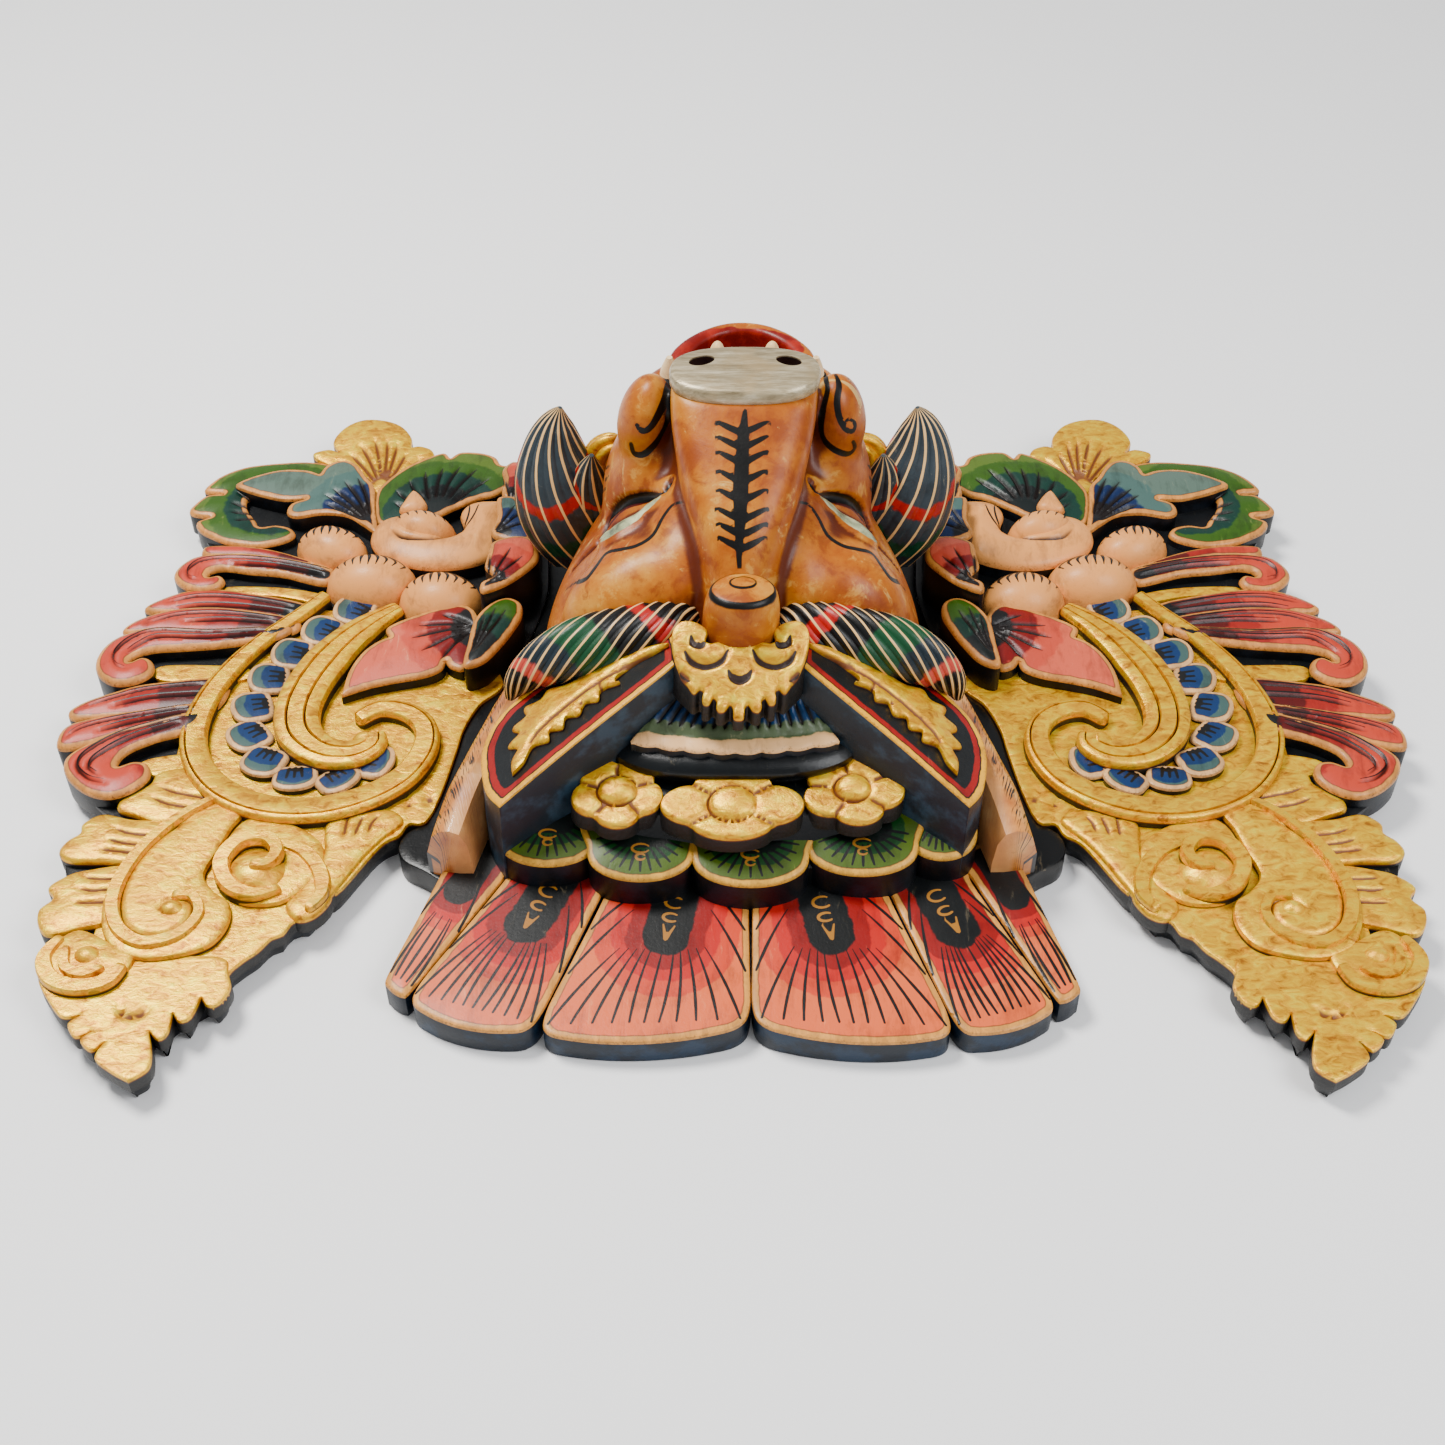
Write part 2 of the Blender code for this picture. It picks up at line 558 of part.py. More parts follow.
def fan_feathers():
    feathers = []
    for i, (root, root_half, tip, tip_half) in enumerate(FAN_FEATHERS):
        root, tip = Vector(root), Vector(tip)
        along = (tip - root).normalized()
        side = Vector((-along.y, along.x))
        start = root - along * FAN_PULL
        outline = [start + side * root_half * 0.8, start - side * root_half * 0.8]
        outline.append(root - side * root_half)
        for angle in range(-80, 81, 20):
            turn = math.radians(angle)
            reach = math.cos(turn) ** 0.6 * 12 - 6
            across = tip_half * math.sin(turn) / math.sin(math.radians(80))
            outline.append(tip + side * across + along * reach)
        outline.append(root + side * root_half)
        low = [on_drawing(p.x, p.y, 0) for p in outline]
        slope = 4 / (tip - start).length
        high = [on_drawing(p.x, p.y, 0.6 * (i % 2) + slope * (tip - p).dot(along)) for p in outline]
        for point in high:
            point.z += FAN_THICKNESS
        feathers.append(prism(f"feather_{i}", low, high))
    return feathers


def tier_edge(x):
    """y of the green tier's near edge at a distance from the middle."""
    return TIER_NEAR + TIER_BEND * x * x


def crown():
    pieces = [skin("crown", [oval(*ring, sides=24, power=2.8) for ring in CROWN_RINGS])]
    for i, (x, half) in enumerate(GREEN_SCALLOPS):
        outline = []
        for angle in range(0, 181, 20):
            turn = math.radians(angle)
            outline.append((x + half * math.cos(turn), tier_edge(x) - 15 * math.sin(turn) ** 0.8))
        outline += [(x - half, tier_edge(x) + 14), (x + half, tier_edge(x) + 14)]
        low = [on_drawing(px, py, GREEN_TOP - 16) for px, py in outline]
        top = GREEN_TOP + 0.4 * (i % 2) - 0.22 * tier_edge(x)
        high = [on_drawing(px, py, top + 0.22 * py) for px, py in outline]
        pieces.append(prism(f"scallop_{i}", low, high))
    for i, (x, y) in enumerate(FLOWERS):
        outline = []
        for step in range(30):
            turn = 2 * math.pi * step / 30
            reach = FLOWER_RADIUS * (0.86 + 0.16 * abs(math.sin(2.5 * turn)))
            outline.append((x + reach * math.cos(turn) * 1.15, y + reach * math.sin(turn) * 0.85))
        low = [on_drawing(px, py, FLOWER_TOP - 14) for px, py in outline]
        high = [on_drawing(px, py, FLOWER_TOP + 0.25 * (py - y)) for px, py in outline]
        pieces.append(prism(f"flower_{i}", low, high))
        eye = on_drawing(x, y, FLOWER_TOP)
        pieces.append(ball(f"flower_eye_{i}", eye, (6.5, 5.5, 4), segments=10, rings=6))
    return pieces


def crown_sides():
    pieces = []
    band_root = (PLANK_THICKNESS - RELIEF_ROOT) / UNIT
    for side in (-1, 1):
        low = [on_drawing(side * a, y, band_root) for a, y in WEDGE]
        high = [on_drawing(side * a, y, WEDGE_TOP - WEDGE_DROP * a) for a, y in WEDGE]
        pieces.append(prism(f"wedge_{side}", low, high))
        spine = [(side * a, y) for a, y in HAIR_BAND]
        heights = (band_root, HAIR_BAND_TOP)
        pieces.append(ribbon(f"hair_band_{side}", spine, HAIR_BAND_HALF, *heights, on_drawing))
        pieces.append(horn(f"brow_{side}", BROW_ROLL, side))
        pieces.append(horn(f"ear_{side}", EAR, side))
        for name, form in (("flank", FLANK_TUFT), ("curl", CHEEK_CURL)):
            pieces.append(side_form(f"{name}_{side}", form, side))
    return pieces


def side_form(name, form, side, segments=12, rings=7):
    (x, y, z), radii, (turn_x, turn_y, turn_z) = form
    turn = (turn_x, side * turn_y, side * turn_z)
    return ball(name, on_drawing(side * x, y, z), radii, turn, segments, rings)


def medallion():
    outline = both_sides(MEDALLION)
    high = MEDALLION_Z + MEDALLION_THICKNESS
    plate = prism(
        "medallion",
        [on_drawing(x, y, MEDALLION_Z - 22) for x, y in outline],
        [on_drawing(x, y, high + MEDALLION_SLOPE * (y - MEDALLION_MIDDLE_Y)) for x, y in outline])
    low, top = KNOB_RANGE
    y = KNOB_MIDDLE_Y
    rings = []
    for z, share in ((low, 0.9), (low + 12, 1), (top - 5, 1), (top - 4, 0.9), (top, 0.8)):
        radius = KNOB_RADIUS * share
        rings.append(oval(z, radius, y - radius, y + radius, sides=16, power=2))
    return [plate, skin("knob", rings)]


def one_skin(obj):
    remesh = obj.modifiers.new("skin", "REMESH")
    remesh.mode = "VOXEL"
    remesh.voxel_size = FACE_VOXEL
    evaluated(obj)


def face():
    """The boar's face: body, snout, jaw and rounded forms run together as one soft skin."""
    skull = skin("face", [oval(*ring, sides=28) for ring in FACE_RINGS])
    forms = [skin("snout", [oval(*ring, sides=28, power=2.6) for ring in SNOUT_RINGS])]
    forms.append(skin("jaw", [oval(*ring, sides=28) for ring in JAW_RINGS]))
    for name, form in FACE_SIDE_FORMS.items():
        for side in (-1, 1):
            forms.append(side_form(f"{name}_{side}", form, side, segments=24, rings=14))
    combine(skull, forms)
    one_skin(skull)
    combine(skull, [skin("mouth", [oval(*ring, sides=24) for ring in MOUTH_RINGS])], "DIFFERENCE")
    one_skin(skull)
    soften = skull.modifiers.new("soften", "SMOOTH")
    soften.factor = 0.5
    soften.iterations = 5
    thin = skull.modifiers.new("thin", "DECIMATE")
    thin.ratio = FACE_SHARE
    evaluated(skull)
    skull.name = "face"
    return skull


def snout_details():
    pieces = [skin("plate", [oval(*ring, sides=24, power=2.6) for ring in SNOUT_PLATE])]
    for side in (-1, 1):
        (x, y, z), radii = TOOTH
        pieces.append(ball(f"tooth_{side}", on_drawing(side * x, y, z), radii, segments=8, rings=6))
        pieces.append(horn(f"tusk_{side}", TUSK, side, sides=8))
    return pieces


def cutters():
    """The face hollow and the nostrils, as solids to cut away."""
    size = (HOLLOW_WIDTH / 2 / UNIT, HOLLOW_LENGTH / 2 / UNIT, HOLLOW_DEPTH / UNIT)
    hollow = ball("hollow", on_drawing(0, 42, 0), size, segments=24, rings=12)
    found = [hollow]
    for side in (-1, 1):
        x, y, z = NOSTRIL_PLACE
        top = on_drawing(side * x, y, z)
        bm = bmesh.new()
        depth = NOSTRIL_DEPTH + 0.003
        bmesh.ops.create_cone(
            bm, cap_ends=True, segments=12, depth=depth,
            radius1=NOSTRIL_RADIUS, radius2=NOSTRIL_RADIUS * 1.15)
        bmesh.ops.scale(bm, vec=(1.25, 0.85, 1), verts=bm.verts)
        bmesh.ops.translate(bm, vec=top - Vector((0, 0, depth / 2)), verts=bm.verts)
        found.append(add_object(f"nostril_{side}", bm))
    return found


def make_head():
    head = head_block()
    combine(head, fan_feathers() + crown() + [face()] + snout_details() + crown_sides() + medallion())
    combine(head, cutters(), "DIFFERENCE")
    head.name = "mask_head"
    paint(head, "tan_lacquer", 0.35)


clear_scene()
make_wings()
make_head()
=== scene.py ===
import math

import bmesh
import bpy
import numpy as np
from mathutils import Matrix, Vector
from mathutils.bvhtree import BVHTree
from mathutils.geometry import delaunay_2d_cdt


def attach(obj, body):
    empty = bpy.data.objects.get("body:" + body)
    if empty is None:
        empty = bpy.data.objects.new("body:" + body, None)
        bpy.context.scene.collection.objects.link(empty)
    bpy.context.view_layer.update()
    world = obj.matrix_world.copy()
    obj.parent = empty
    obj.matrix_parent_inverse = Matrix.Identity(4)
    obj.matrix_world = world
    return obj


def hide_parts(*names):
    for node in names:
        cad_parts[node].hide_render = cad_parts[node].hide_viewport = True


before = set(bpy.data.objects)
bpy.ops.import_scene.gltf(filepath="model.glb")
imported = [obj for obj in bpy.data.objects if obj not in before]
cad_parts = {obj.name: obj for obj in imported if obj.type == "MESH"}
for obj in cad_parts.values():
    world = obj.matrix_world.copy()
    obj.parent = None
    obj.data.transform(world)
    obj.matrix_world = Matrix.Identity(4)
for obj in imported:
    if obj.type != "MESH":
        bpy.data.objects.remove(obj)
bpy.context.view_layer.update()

# The drawing is in millimetres: distance from the middle line, y towards the chin, z out of the face
drawing = {"middleY": 6.5, "plank": 12.0, "fan": 12.0, "lean": 0.042, "leanFrom": 34.0, "mm": 0.001}
view = {"place": (0.0, -0.6044, 0.6069), "aim": (0.0, -0.0175, 0.020), "focalPixels": 2020, "width": 1445,
        "middle": (732, 722), "shiftX": -0.0066}
paintFields = ("edge", "stroke", "groove", "root", "tone", "mark", "along")
farFields = ("stroke", "mark")
unpainted = 9.0  # millimetres from any painted line, so none shows


# Points of the drawing as metres in the part's frame
def toMetres(points):
    points = np.array(points, float)
    points[:, 0] += drawing["lean"] * np.maximum(points[:, 2] - drawing["leanFrom"], 0)
    points[:, 1] -= drawing["middleY"]
    return points * drawing["mm"]


# Evenly spaced points on a soft curve through the drawn ones. A point given twice makes a corner.
def curve(points, closed=True, step=1.2):
    points = np.array(points, float)
    count = len(points)
    found = []
    for i in range(count if closed else count - 1):
        near = [i - 1, i, i + 1, i + 2]
        near = [k % count if closed else min(max(k, 0), count - 1) for k in near]
        before, start, end, after = points[near]
        length = np.linalg.norm(end - start)
        if length < 1e-6:
            continue
        parts = max(1, int(round(length / step)))
        t = (np.arange(parts) / parts)[:, None]
        found.append(0.5 * (
            2 * start + (end - before) * t + (2 * before - 5 * start + 4 * end - after) * t**2
            + (3 * start - before - 3 * end + after) * t**3))
    if not closed:
        found.append(points[-1:])
    return np.vstack(found)


# Distance of each point from a path, and the share of the path's length at its nearest place
def nearest(points, path, closed=False):
    starts = path if closed else path[:-1]
    ends = np.roll(path, -1, axis=0) if closed else path[1:]
    lengths = np.linalg.norm(ends - starts, axis=1)
    total = max(lengths.sum(), 1e-9)
    best = np.full(len(points), 1e9)
    share = np.zeros(len(points))
    run = 0.0
    for start, end, length in zip(starts, ends, lengths):
        if length > 1e-9:
            t = np.clip(((points - start) @ (end - start)) / length**2, 0, 1)
            away = np.linalg.norm(points - start - t[:, None] * (end - start), axis=1)
            closer = away < best
            best[closer] = away[closer]
            share[closer] = ((run + t * length) / total)[closer]
            run += length
    return best, share


def inside(points, loop):
    x, y = points[:, 0], points[:, 1]
    found = np.zeros(len(points), bool)
    for (x1, y1), (x2, y2) in zip(loop, np.roll(loop, -1, axis=0)):
        if y1 != y2:
            found ^= ((y1 > y) != (y2 > y)) & (x < (x2 - x1) * (y - y1) / (y2 - y1) + x1)
    return found


# Unit normals of a closed loop, pointing in, with the loop going anticlockwise
def inwardNormals(loop):
    along = np.roll(loop, -1, axis=0) - np.roll(loop, 1, axis=0)
    along /= np.linalg.norm(along, axis=1)[:, None] + 1e-12
    return np.stack([-along[:, 1], along[:, 0]], axis=1)


def anticlockwise(loop):
    x, y = loop[:, 0], loop[:, 1]
    area = (x * np.roll(y, -1) - y * np.roll(x, -1)).sum()
    return loop if area > 0 else loop[::-1]


# Collects closed shells with their paint values, and makes one object of them
class Carving:

    def __init__(self):
        self.points = []
        self.faces = []
        self.paint = {field: [] for field in paintFields}
        self.count = 0

    def add(self, points, faces, paint, side=1):
        points = np.array(points, float)
        points[:, 0] *= side
        self.points.append(toMetres(points))
        for face in faces:
            face = [k + self.count for k in face]
            self.faces.append(face if side > 0 else face[::-1])
        for field in paintFields:
            value = paint.get(field, unpainted if field in farFields else 0.0)
            self.paint[field].append(np.broadcast_to(np.asarray(value, float), (len(points),)))
        self.count += len(points)

    def build(self, name, material, slot, node=None, sharp=38):
        mesh = bpy.data.meshes.new(name)
        mesh.from_pydata(np.vstack(self.points).tolist(), [], self.faces)
        for field in paintFields:
            values = mesh.attributes.new(field, "FLOAT", "POINT")
            values.data.foreach_set("value", np.concatenate(self.paint[field]).astype(np.float32))
        finishPiece(name, mesh, material, node, sharp)


def finishPiece(name, mesh, material, node=None, sharp=38):
    mesh.shade_smooth()
    mesh.set_sharp_from_angle(angle=math.radians(sharp))
    mesh.materials.clear()
    mesh.materials.append(material)
    piece = bpy.data.objects.new(name, mesh)
    bpy.context.scene.collection.objects.link(piece)
    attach(piece, "root")
    if node:
        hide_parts(node)
    print(name, len(mesh.polygons), "faces")


# How deep the carved lines cut at each point, and how near the deepest one is to its middle
def cuts(points, paths):
    depth = np.zeros(len(points))
    near = np.zeros(len(points))
    for path, width, deep in paths:
        away, share = nearest(points, path)
        ends = np.clip(share / 0.12, 0, 1) * np.clip((1 - share) / 0.2, 0, 1)
        strength = np.exp(-((away / width) ** 2)) * (0.35 + 0.65 * ends)
        depth = np.maximum(depth, strength * deep)
        near = np.maximum(near, strength)
    return depth, near


# Distance outside the nearest brush stroke, negative inside it. Widths run from its start to its end.
def strokeField(points, paths):
    found = np.full(len(points), unpainted)
    for path, widths in paths:
        near = np.all((points > path.min(axis=0) - 6) & (points < path.max(axis=0) + 6), axis=1)
        if near.any():
            away, share = nearest(points[near], path)
            half = np.interp(share, np.linspace(0, 1, len(widths)), widths)
            found[near] = np.minimum(found[near], away - half)
    return found


# Places on and beside each brush stroke, so that the mesh follows it
def strokePoints(paths, step):
    found = []
    for path, widths in paths:
        fine = curve(path, closed=False, step=step)
        share = np.linspace(0, 1, len(fine))
        half = np.interp(share, np.linspace(0, 1, len(widths)), widths) + 0.12
        along = np.gradient(fine, axis=0)
        along /= np.linalg.norm(along, axis=1)[:, None] + 1e-12
        across = np.stack([-along[:, 1], along[:, 0]], axis=1) * half[:, None]
        found += [fine, fine + across, fine - across]
    return found


# Leave out points that lie too near an earlier one
def spread(points, apart):
    kept, taken = [], {}
    for i, (x, y) in enumerate(points):
        cell = (int(x // apart), int(y // apart))
        close = False
        for u in (-1, 0, 1):
            for v in (-1, 0, 1):
                for k in taken.get((cell[0] + u, cell[1] + v), ()):
                    if (points[k][0] - x) ** 2 + (points[k][1] - y) ** 2 < apart**2:
                        close = True
        if not close:
            taken.setdefault(cell, []).append(i)
            kept.append(i)
    return points[kept]


# A closed carved leaf: a drawn outline, a rounded and grooved top, and walls down to its root
def carve(store, outline, top, root=-7.0, step=1.3, bevel=1.2, slope=(0, 0), bulge=0.0, grooves=(), strokes=(),
          marks=(), rootAt=None, reach=30.0, lift=None, side=1, shape=None, inset=0.0):
    lift = drawing["plank"] if lift is None else lift
    rim = anticlockwise(curve(outline, step=step))
    normals = inwardNormals(rim)
    extra = []
    ringEnd = 0.0
    for share in (0.3, 1.0):
        offset = bevel * share
        ring = rim + normals * offset
        away, _ = nearest(ring, rim, closed=True)
        extra.append(ring[(away > offset * 0.93) & inside(ring, rim)])
        ringEnd = offset
    for path, width, _ in grooves:
        away, _ = nearest(path, rim, closed=True)
        extra.append(path[(away > ringEnd + 0.4 * step) & inside(path, rim)])
    low, high = rim.min(axis=0), rim.max(axis=0)
    rows = int((high[1] - low[1]) / (step * 0.87)) + 1
    grid = []
    for row in range(rows):
        y = low[1] + row * step * 0.87
        xs = np.arange(low[0] + (row % 2) * step / 2, high[0], step)
        grid.append(np.stack([xs, np.full(len(xs), y)], axis=1))
    grid = np.vstack(grid)
    grid = grid[inside(grid, rim)]
    if len(grid):
        away, _ = nearest(grid, rim, closed=True)
        grid = grid[away > ringEnd + 0.55 * step]
    painted = strokePoints([*strokes, *marks], 0.9)
    for path in [p for p, *_ in grooves] + [p for p, _ in [*strokes, *marks]]:
        if len(grid):
            away, _ = nearest(grid, path)
            grid = grid[away > 0.6 * step]
    if painted:
        painted = np.vstack(painted)
        away, _ = nearest(painted, rim, closed=True)
        extra.append(painted[(away > 0.3) & inside(painted, rim)])
    extra.append(grid)
    inner = spread(np.vstack(extra), 0.22)
    cloud = np.vstack([rim, inner])
    edges = [(i, (i + 1) % len(rim)) for i in range(len(rim))]
    found = delaunay_2d_cdt([Vector(p) for p in cloud], edges, [], 1, 1e-5)
    flat = np.array([tuple(v) for v in found[0]])
    faces = [tuple(face) for face in found[2]]
    a, b, c = (flat[[face[k] for face in faces]] for k in range(3))
    turn = (b[:, 0] - a[:, 0]) * (c[:, 1] - a[:, 1]) - (b[:, 1] - a[:, 1]) * (c[:, 0] - a[:, 0])
    faces = [face if area > 0 else face[::-1] for face, area in zip(faces, turn)]
    edge, _ = nearest(flat, rim, closed=True)
    depth, near = cuts(flat, grooves)
    middle = rim.mean(axis=0)
    roundness = 1 - np.clip(edge / bevel, 0, 1)
    z = lift + top + (flat - middle) @ np.array(slope) - bevel * (1 - np.sqrt(1 - roundness**2))
    if bulge:
        reachIn = max(edge.max(), 1e-6)
        z += bulge * (1 - (1 - edge / reachIn) ** 2)
    if shape is not None:
        z += shape(flat, edge)
    z -= depth
    rootValue = np.zeros(len(flat)) + 2.0
    if isinstance(rootAt, str):
        rootValue = edge / reach
    elif rootAt is not None:
        rootAt = np.array(rootAt, float)
        if rootAt.ndim == 1:
            rootValue = np.linalg.norm(flat - rootAt, axis=1) / reach
        else:
            rootValue = nearest(flat, rootAt)[0] / reach
    sides = set()
    for face in faces:
        for k in range(3):
            sides.add((face[k], face[(k + 1) % 3]))
    follow = {start: end for start, end in sides if (end, start) not in sides}
    loop = []
    at = next(iter(follow))
    while at not in loop[:1]:
        loop.append(at)
        at = follow[at]
    count = len(flat)
    ringPoints = flat[loop]
    if inset:
        ringPoints = ringPoints + inwardNormals(ringPoints) * inset
    points = np.column_stack([flat, z])
    lower = np.column_stack([ringPoints, np.full(len(loop), lift + root)])
    walls = []
    for i, start in enumerate(loop):
        j = (i + 1) % len(loop)
        walls.append((loop[j], start, count + i, count + j))
    bottom = [tuple(range(count + len(loop) - 1, count - 1, -1))]
    wallEdge = lower[:, 2] - z[loop]
    pad = len(loop)
    paint = {
        "edge": np.concatenate([edge, wallEdge]),
        "stroke": np.concatenate([strokeField(flat, strokes), np.full(pad, unpainted)]),
        "mark": np.concatenate([strokeField(flat, marks), np.full(pad, unpainted)]),
        "groove": np.concatenate([near, np.zeros(pad)]),
        "root": np.concatenate([rootValue, rootValue[loop]]),
    }
    store.add(np.vstack([points, lower]), faces + walls + bottom, paint, side)


# A carved band along a drawn path. The profile's pairs are place across and share of the height.
def sweep(store, spine, widths, height, profile, root=-7.0, lift=None, side=1, step=1.6, ends=2.0):
    lift = drawing["plank"] if lift is None else lift
    path = curve(spine, closed=False, step=step)
    along = np.gradient(path, axis=0)
    along /= np.linalg.norm(along, axis=1)[:, None] + 1e-12
    normal = np.stack([-along[:, 1], along[:, 0]], axis=1)
    run = np.concatenate([[0], np.cumsum(np.linalg.norm(np.diff(path, axis=0), axis=1))])
    share = run / run[-1]
    half = np.interp(share, np.linspace(0, 1, len(widths)), widths)
    fromEnd = np.minimum(run, run[-1] - run)
    rounded = np.sqrt(np.clip(1 - (1 - np.clip(fromEnd / ends, 0, 1)) ** 2, 0.02, 1))
    half = half * (0.35 + 0.65 * rounded)
    tall = height if np.ndim(height) == 0 else np.interp(share, np.linspace(0, 1, len(height)), height)
    tall = tall * (0.75 + 0.25 * rounded)
    across = [(-1.0, None, 0)] + profile + [(1.0, None, 0)]
    points, edge, groove, tones = [], [], [], []
    for v, rise, cut in across:
        tones.append(np.full(len(path), v))
        ring = path + normal * (half * v)[:, None]
        z = np.full(len(path), root) if rise is None else tall * rise
        points.append(np.column_stack([ring, z + lift]))
        edge.append(z - tall * profile[0][1] if rise is None else half * (1 - abs(v)))
        groove.append(np.full(len(path), float(cut)))
    rows, count = len(across), len(path)
    faces = []
    for r in range(rows):
        s = (r + 1) % rows
        for i in range(count - 1):
            faces.append((r * count + i, s * count + i, s * count + i + 1, r * count + i + 1))
    faces.append(tuple(r * count for r in range(rows))[::-1])
    faces.append(tuple(r * count + count - 1 for r in range(rows)))
    paint = {"edge": np.concatenate(edge), "groove": np.concatenate(groove), "root": 2.0,
             "tone": np.concatenate(tones), "along": np.tile(run, rows)}
    faces = [face[::-1] for face in faces]
    store.add(np.vstack(points), faces, paint, side)


# A rounded boss standing on the plank
def dome(store, middle, radii, turn=0, strokes=(), side=1):
    angle = math.radians(turn)
    ring = []
    for k in range(28):
        t = 2 * math.pi * k / 28
        x, y = radii[0] * math.cos(t), radii[1] * math.sin(t)
        ring.append((middle[0] + x * math.cos(angle) - y * math.sin(angle),
                     middle[1] + x * math.sin(angle) + y * math.cos(angle)))

    def shape(flat, edge):
        local = (flat - np.array(middle)) @ np.array(
            [[math.cos(angle), -math.sin(angle)], [math.sin(angle), math.cos(angle)]])
        out = np.sqrt((local[:, 0] / radii[0]) ** 2 + (local[:, 1] / radii[1]) ** 2)
        return radii[2] * np.sqrt(1 - np.clip(out, 0, 1) ** 2)

    carve(store, ring, 0.0, root=-4.0, bevel=0.3, strokes=strokes, side=side, shape=shape)


# Carved lines from one place to several, each bowed to one side
def rays(start, targets, bend=0.0, begin=0.0, end=1.0, width=0.9, deep=0.7):
    found = []
    start = np.array(start, float)
    for target in targets:
        target = np.array(target, float)
        line = target - start
        side = np.array([-line[1], line[0]]) * bend
        t = np.linspace(begin, end, 14)[:, None]
        found.append((start + line * t + side * (4 * t * (1 - t)), width, deep))
    return found


def asStrokes(lines, wide=0.5, thin=0.12):
    return [(path, [wide * 0.6, wide, wide * 0.8, thin]) for path, *_ in lines]


# Materials

# Mix two colours, each a colour or another node's socket
def blend(tree, factor, first, second, mode="MIX"):
    node = tree.nodes.new("ShaderNodeMix")
    node.data_type = "RGBA"
    node.blend_type = mode
    node.clamp_factor = True
    for place, value in ((0, factor), (6, first), (7, second)):
        if isinstance(value, bpy.types.NodeSocket):
            tree.links.new(value, node.inputs[place])
        elif place == 0:
            node.inputs[0].default_value = value
        else:
            node.inputs[place].default_value = (*value, 1)
    return node.outputs[2]


def reckon(tree, kind, first, second=0.0, clamp=False):
    node = tree.nodes.new("ShaderNodeMath")
    node.operation = kind
    node.use_clamp = clamp
    for place, value in enumerate((first, second)):
        if isinstance(value, bpy.types.NodeSocket):
            tree.links.new(value, node.inputs[place])
        else:
            node.inputs[place].default_value = value
    return node.outputs[0]


# Map a range of values to another, clamped and smooth
def span(tree, value, low, high, start=0.0, end=1.0):
    node = tree.nodes.new("ShaderNodeMapRange")
    node.interpolation_type = "SMOOTHSTEP"
    tree.links.new(value, node.inputs[0])
    for place, number in zip((1, 2, 3, 4), (low, high, start, end)):
        node.inputs[place].default_value = number
    return node.outputs[0]


def noise(tree, where, scale, detail=4.0, rough=0.55, stretch=None, distort=0.0):
    if stretch:
        mapping = tree.nodes.new("ShaderNodeMapping")
        mapping.inputs["Scale"].default_value = stretch
        tree.links.new(where, mapping.inputs["Vector"])
        where = mapping.outputs[0]
    node = tree.nodes.new("ShaderNodeTexNoise")
    node.inputs["Scale"].default_value = scale
    node.inputs["Detail"].default_value = detail
    node.inputs["Roughness"].default_value = rough
    node.inputs["Distortion"].default_value = distort
    tree.links.new(where, node.inputs["Vector"])
    return node.outputs["Fac"]


def attribute(tree, name):
    node = tree.nodes.new("ShaderNodeAttribute")
    node.attribute_name = name
    return node.outputs["Fac"]


def ramp(tree, value, stops):
    node = tree.nodes.new("ShaderNodeValToRGB")
    tree.links.new(value, node.inputs[0])
    bar = node.color_ramp
    while len(bar.elements) > 1:
        bar.elements.remove(bar.elements[-1])
    bar.elements[0].position = stops[0][0]
    bar.elements[0].color = (*stops[0][1], 1)
    for place, colour in stops[1:]:
        bar.elements.new(place).color = (*colour, 1)
    return node.outputs[0]


def startMaterial(name):
    material = bpy.data.materials.new(name)
    material.use_nodes = True
    tree = material.node_tree
    where = tree.nodes.new("ShaderNodeTexCoord").outputs["Object"]
    return material, tree, tree.nodes["Principled BSDF"], where


def bump(tree, shader, height, strength, distance):
    node = tree.nodes.new("ShaderNodeBump")
    node.inputs["Strength"].default_value = strength
    node.inputs["Distance"].default_value = distance
    tree.links.new(height, node.inputs["Height"])
    tree.links.new(node.outputs[0], shader.inputs["Normal"])


# Richer and darker paint from the same colours
def deepen(tree, colour, power):
    node = tree.nodes.new("ShaderNodeGamma")
    tree.links.new(colour, node.inputs[0])
    node.inputs[1].default_value = power
    return node.outputs[0]


wallBlack = (0.008, 0.014, 0.022)
borderTan = (0.80, 0.45, 0.16)


